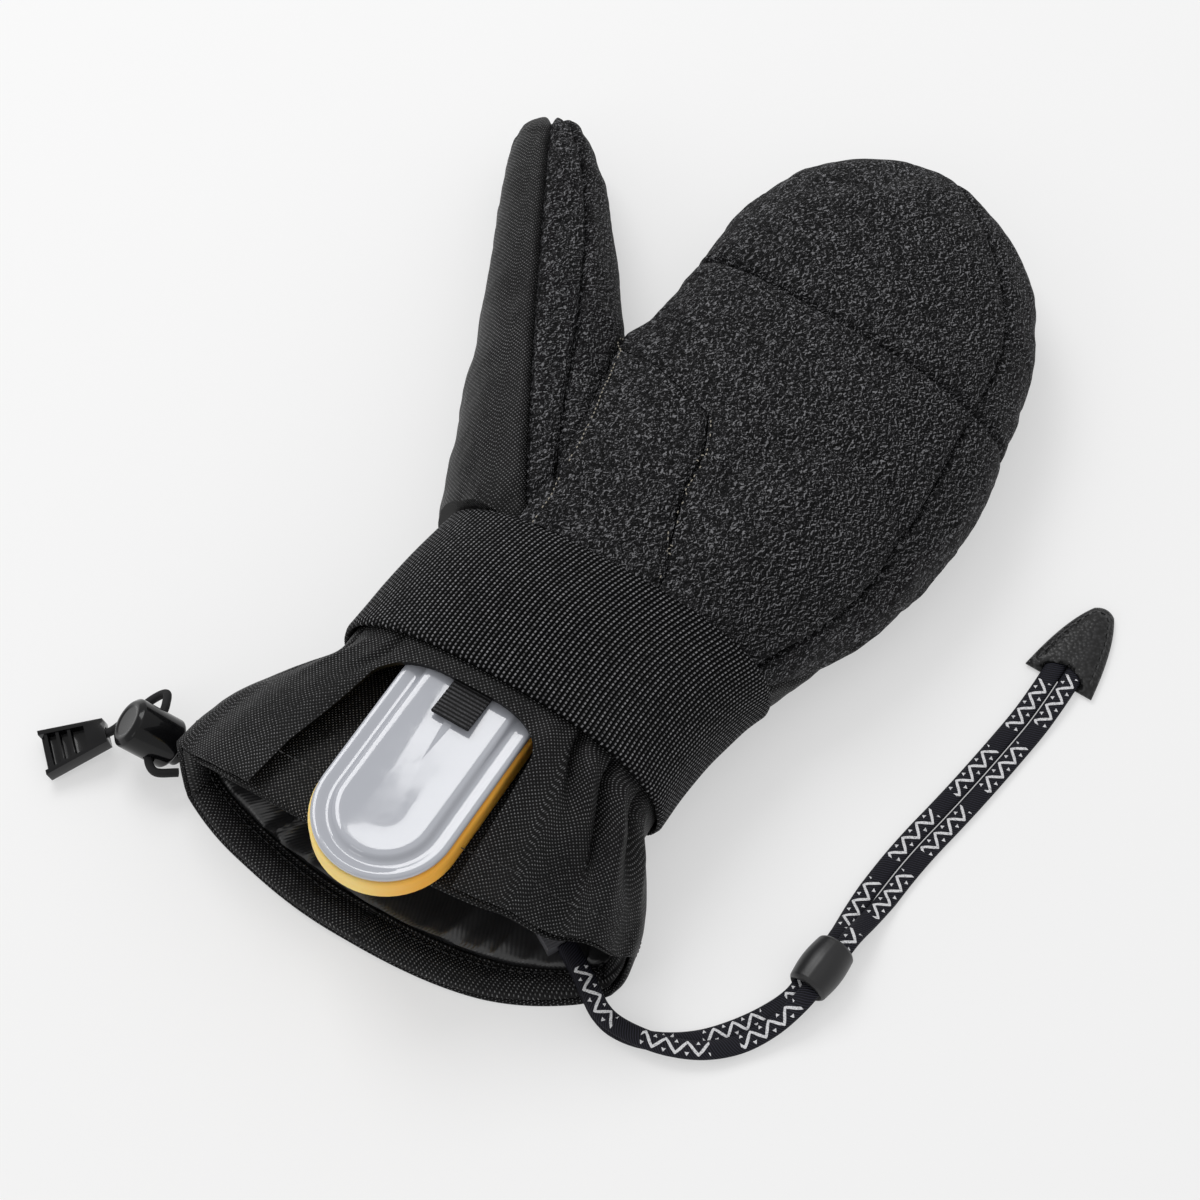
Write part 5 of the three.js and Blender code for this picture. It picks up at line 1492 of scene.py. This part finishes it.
def makeGuard():
    low, high = guardBase, guardBase + guard["foam"]
    foam = slabMesh("guardFoam", [
        (1.0, 0.6, low), (0.35, 0.2, low + 0.3), (0.0, 0.0, low + 1.0), (0.0, 0.0, low + 3.0),
        (0.25, 0.0, low + 4.2), (0.0, 0.0, low + 5.4), (0.0, 0.0, high - 0.8),
        (0.3, 0.2, high - 0.2), (0.9, 0.6, high)])
    foamPiece = addObject("guard_foam", foam, "guard_foam")
    foam.set_sharp_from_angle(angle=math.radians(60))
    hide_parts("splint_foam")
    z, t, m = plateBase, guard["plate"], 0.8 + guard["margin"]
    rise = guard["tongue"]
    profile = [(1.5, z), (1.0, z + 0.15), (0.8, z + 0.6), (0.85, z + t * 0.7), (1.1, z + t * 0.92),
               (1.6, z + t), (2.3, z + t + 0.05), (3.1, z + t - 0.05), (4.0, z + t - 0.38), (5.0, z + t - 0.55),
               (m - 1.0, z + t - 0.5), (m - 0.35, z + t - 0.25), (m + 0.1, z + t + 0.35),
               (m + 0.55, z + t + rise * 0.85), (m + 1.2, z + t + rise), (m + 2.2, z + t + rise + 0.06),
               (m + 3.6, z + t + rise - 0.05), (m + 6.0, z + t + rise - 0.18),
               (m + 10.0, z + t + rise - 0.22)]
    plate = slabMesh("guardPlate", [(i, 0.3, h) for i, h in profile])
    platePiece = addObject("glossy_guard_plate", plate, "guard_plate")
    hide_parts("splint_plate")
    rows, wide = 90, guard["tabWidth"] / 2
    endY = -strap["width"] / 2 - 17
    tabBase = z + t + rise + seamGap
    y = np.linspace(endY, endY + guard["tabLength"], rows)
    rib = 0.16 * np.abs(np.sin(np.pi * (y - endY) / guard["tabRib"]))
    curl = 1.1 * np.clip(1 - (y - endY) / 13, 0, 1) ** 2
    rings = []
    section = [(-1, 0.35), (-0.985, 0.08), (-0.94, 0), (0.94, 0), (0.985, 0.08), (1, 0.35), (1, 0.65),
               (0.985, 0.92), (0.94, 1), (0.5, 1), (0, 1), (-0.5, 1), (-0.94, 1), (-0.985, 0.92), (-1, 0.65)]
    for k in range(rows):
        rings.append([(guard["x"] + 0.5 + a * (wide - 0.12 * (k % 3 == 0)), y[k],
                       tabBase + curl[k] + b * guard["tabThick"] + rib[k] * (b > 0.5)) for a, b in section])
    tab = loftMesh("guardTab", np.array(rings))
    tabPiece = addObject("ribbed_guard_tab", tab, "guard_tape")
    tab.set_sharp_from_angle(angle=math.radians(50))
    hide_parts("splint_tab")


makeGuard()
print("guard is ready")

# the cord lock, its button, the drawcord and the finger clip

lock = {"radius": 7.8, "length": 16.5, "button": 5.3, "travel": 2.5, "play": 0.4, "top": 3, "cord": 6,
        "axis": (-0.717, -0.264, 0.645), "foot": (-85.2, -73.4, 8.1), "showing": 0.6}
clip = {"length": 20, "wide": 15, "neck": 8, "rail": 1.3, "deep": 4.6, "floor": 1.6, "ribs": 3, "waist": 0.3}
cordWide = 2.6
lockZ = Vector(lock["axis"]).normalized()
lockX = Vector((-lockZ.y, lockZ.x, 0)).normalized()
lockFrame = frameOf(lockX, lockZ.cross(lockX), lockZ, lock["foot"])
clipFrame = frameOf((-0.655, -0.72, -0.23), (0.74, -0.673, 0), (-0.155, -0.17, 0.973), (-103.5, -80, 6.2))
cordHole = cordWide / 2 + 0.4


def crossHole(length, middle):
    across = lock["radius"] * 1.5
    return rodCutter("crossHole", lockFrame, (-across, across), cordHole, length / 2, 40, middle)


def makeLock():
    r, long = lock["radius"], lock["length"]
    profile = [(0.01, 0), (r - 0.9, 0), (r, 0.9), (r, long - 1.3), (r - 1.5, long), (r - 2.6, long - 0.02),
               (r - 3.2, long - 0.35), (0.01, long - 0.35)]
    body = lathe("barrel", roundOver(profile, 0.5, 4), 72, lockFrame)
    boreRadius = lock["button"] + lock["play"]
    bore = cutter(lathe("bore", [(boreRadius, -2), (boreRadius, long - lock["top"])], 64, lockFrame))
    hole = crossHole(2 * cordHole, lock["cord"])
    mesh = carve(body, bore, hole)
    dropTools(bore, hole)
    mesh.set_sharp_from_angle(angle=math.radians(35))
    barrel = addObject("glossy_lock_barrel", mesh, "lock_plastic")
    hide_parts("cord_lock_barrel")
    top, foot, b = lock["cord"] + cordHole + 1.5, -lock["travel"] - lock["showing"], lock["button"]
    body = lathe("button", roundOver([(0.01, foot), (b, foot), (b, top), (0.01, top)], 0.7, 5), 56, lockFrame)
    hole = crossHole(2 * cordHole + lock["travel"], lock["cord"] - lock["travel"] / 2)
    mesh = carve(body, hole)
    dropTools(hole)
    mesh.set_sharp_from_angle(angle=math.radians(35))
    button = addObject("spring_button", mesh, "lock_plastic", body=buttonBody)
    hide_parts("cord_lock_plunger")


def clipSlab(fromX, toX, halfFrom, halfTo, low, high):
    flat = [(fromX, -halfFrom), (toX, -halfTo), (toX, halfTo), (fromX, halfFrom)]
    rings = np.array([[(x, y, z) for x, y in flat] for z in (low, high)], float)
    return cutter(loftMesh("clipSlab", placed(rings, clipFrame)))


def makeClip():
    half = lambda x: lerp(clip["neck"], clip["wide"], x / clip["length"]) / 2
    long, waist = clip["length"], clip["waist"] * clip["length"]
    body = clipSlab(0, long, half(0), half(long), 0, clip["deep"])
    tray = clipSlab(waist, long + 1, half(waist) - clip["rail"], half(long) - clip["rail"], clip["floor"],
                    clip["deep"] + 1)
    mesh = carve(body.data, tray)
    ribs = []
    for i in range(clip["ribs"]):
        x = lerp(waist, long, (i + 1.2) / (clip["ribs"] + 0.9))
        ribs.append(clipSlab(x, x + 1, half(x) - 0.5, half(x) - 0.5, 0.5, clip["deep"] - 0.6))
    mesh = carve(mesh, *ribs, operation="UNION")
    hole = rodCutter("clipHole", clipFrame, (-4.0, 4.0), cordHole, cordHole, 32, clip["deep"] / 2)
    mesh = carve(mesh, hole)
    dropTools(body, tray, hole, *ribs)
    piece = addObject("finger_clip", mesh, "lock_plastic")
    soft = piece.modifiers.new("softEdges", "BEVEL")
    soft.width, soft.segments, soft.angle_limit = 0.28 * mm, 3, math.radians(30)
    mesh = bpy.data.meshes.new_from_object(piece.evaluated_get(bpy.context.evaluated_depsgraph_get()))
    piece.modifiers.clear()
    piece.data = mesh
    mesh.set_sharp_from_angle(angle=math.radians(35))
    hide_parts("cord_end_clip")


def makeDrawcord():
    lockPoint = lambda x, y, z: tuple(lockFrame @ Vector((x, y, z)))
    clipPoint = lambda x, y, z: tuple(clipFrame @ Vector((x, y, z)))
    route = [clipPoint(3, 0, clip["deep"] / 2), clipPoint(-1.5, 0, clip["deep"] / 2), lockPoint(-7, -12.5, 10.5),
             lockPoint(-13.5, -7, 7.5), lockPoint(-14.8, -1.5, 6.2)]
    route += [lockPoint(x, 0, lock["cord"]) for x in (-11, -8, -4, 0, 4, 8)]
    route += [(-82.9, -84.3, 11.2), (-77.9, -80.3, 9.4)]
    line = smoothLine(route, 220)
    piece = flatTube("braided_drawcord", line, cordWide, cordWide, 20, "lock_cord")
    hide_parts("drawcord")
    print("drawcord", round(float(travel(line)[-1]), 1), "mm")


def makeAnchor():
    a, b = Vector(leash["route"][0][:3]), Vector(leash["route"][1][:3])
    along = (b - a)
    along.z = 0
    along.normalize()
    side = Vector((-along.y, along.x, 0))
    deep, wide, high = 8.0, leash["wide"], leash["thick"] + leash["gap"] / 2
    rings = []
    section = ((-1, -0.8), (-0.96, -1), (0.96, -1), (1, -0.8), (1, 0.8), (0.96, 1), (0, 1), (-0.96, 1),
               (-1, 0.8))
    for k in range(34):
        x = -deep - seamGap + deep * k / 33
        rib = 0.14 * abs(math.sin(math.pi * k / 4))
        rings.append([tuple(a + along * x + side * (s * wide) + upward * (h * (high + rib))) for s, h in section])
    piece = addObject("leash_tab", loftMesh("leashTab", np.array(rings)), "tab_tape")
    piece.data.set_sharp_from_angle(angle=math.radians(50))
    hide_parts("leash_anchor_tab")


makeLock()
makeClip()
makeDrawcord()
makeAnchor()
print("lock, clip, drawcord and tab are ready")
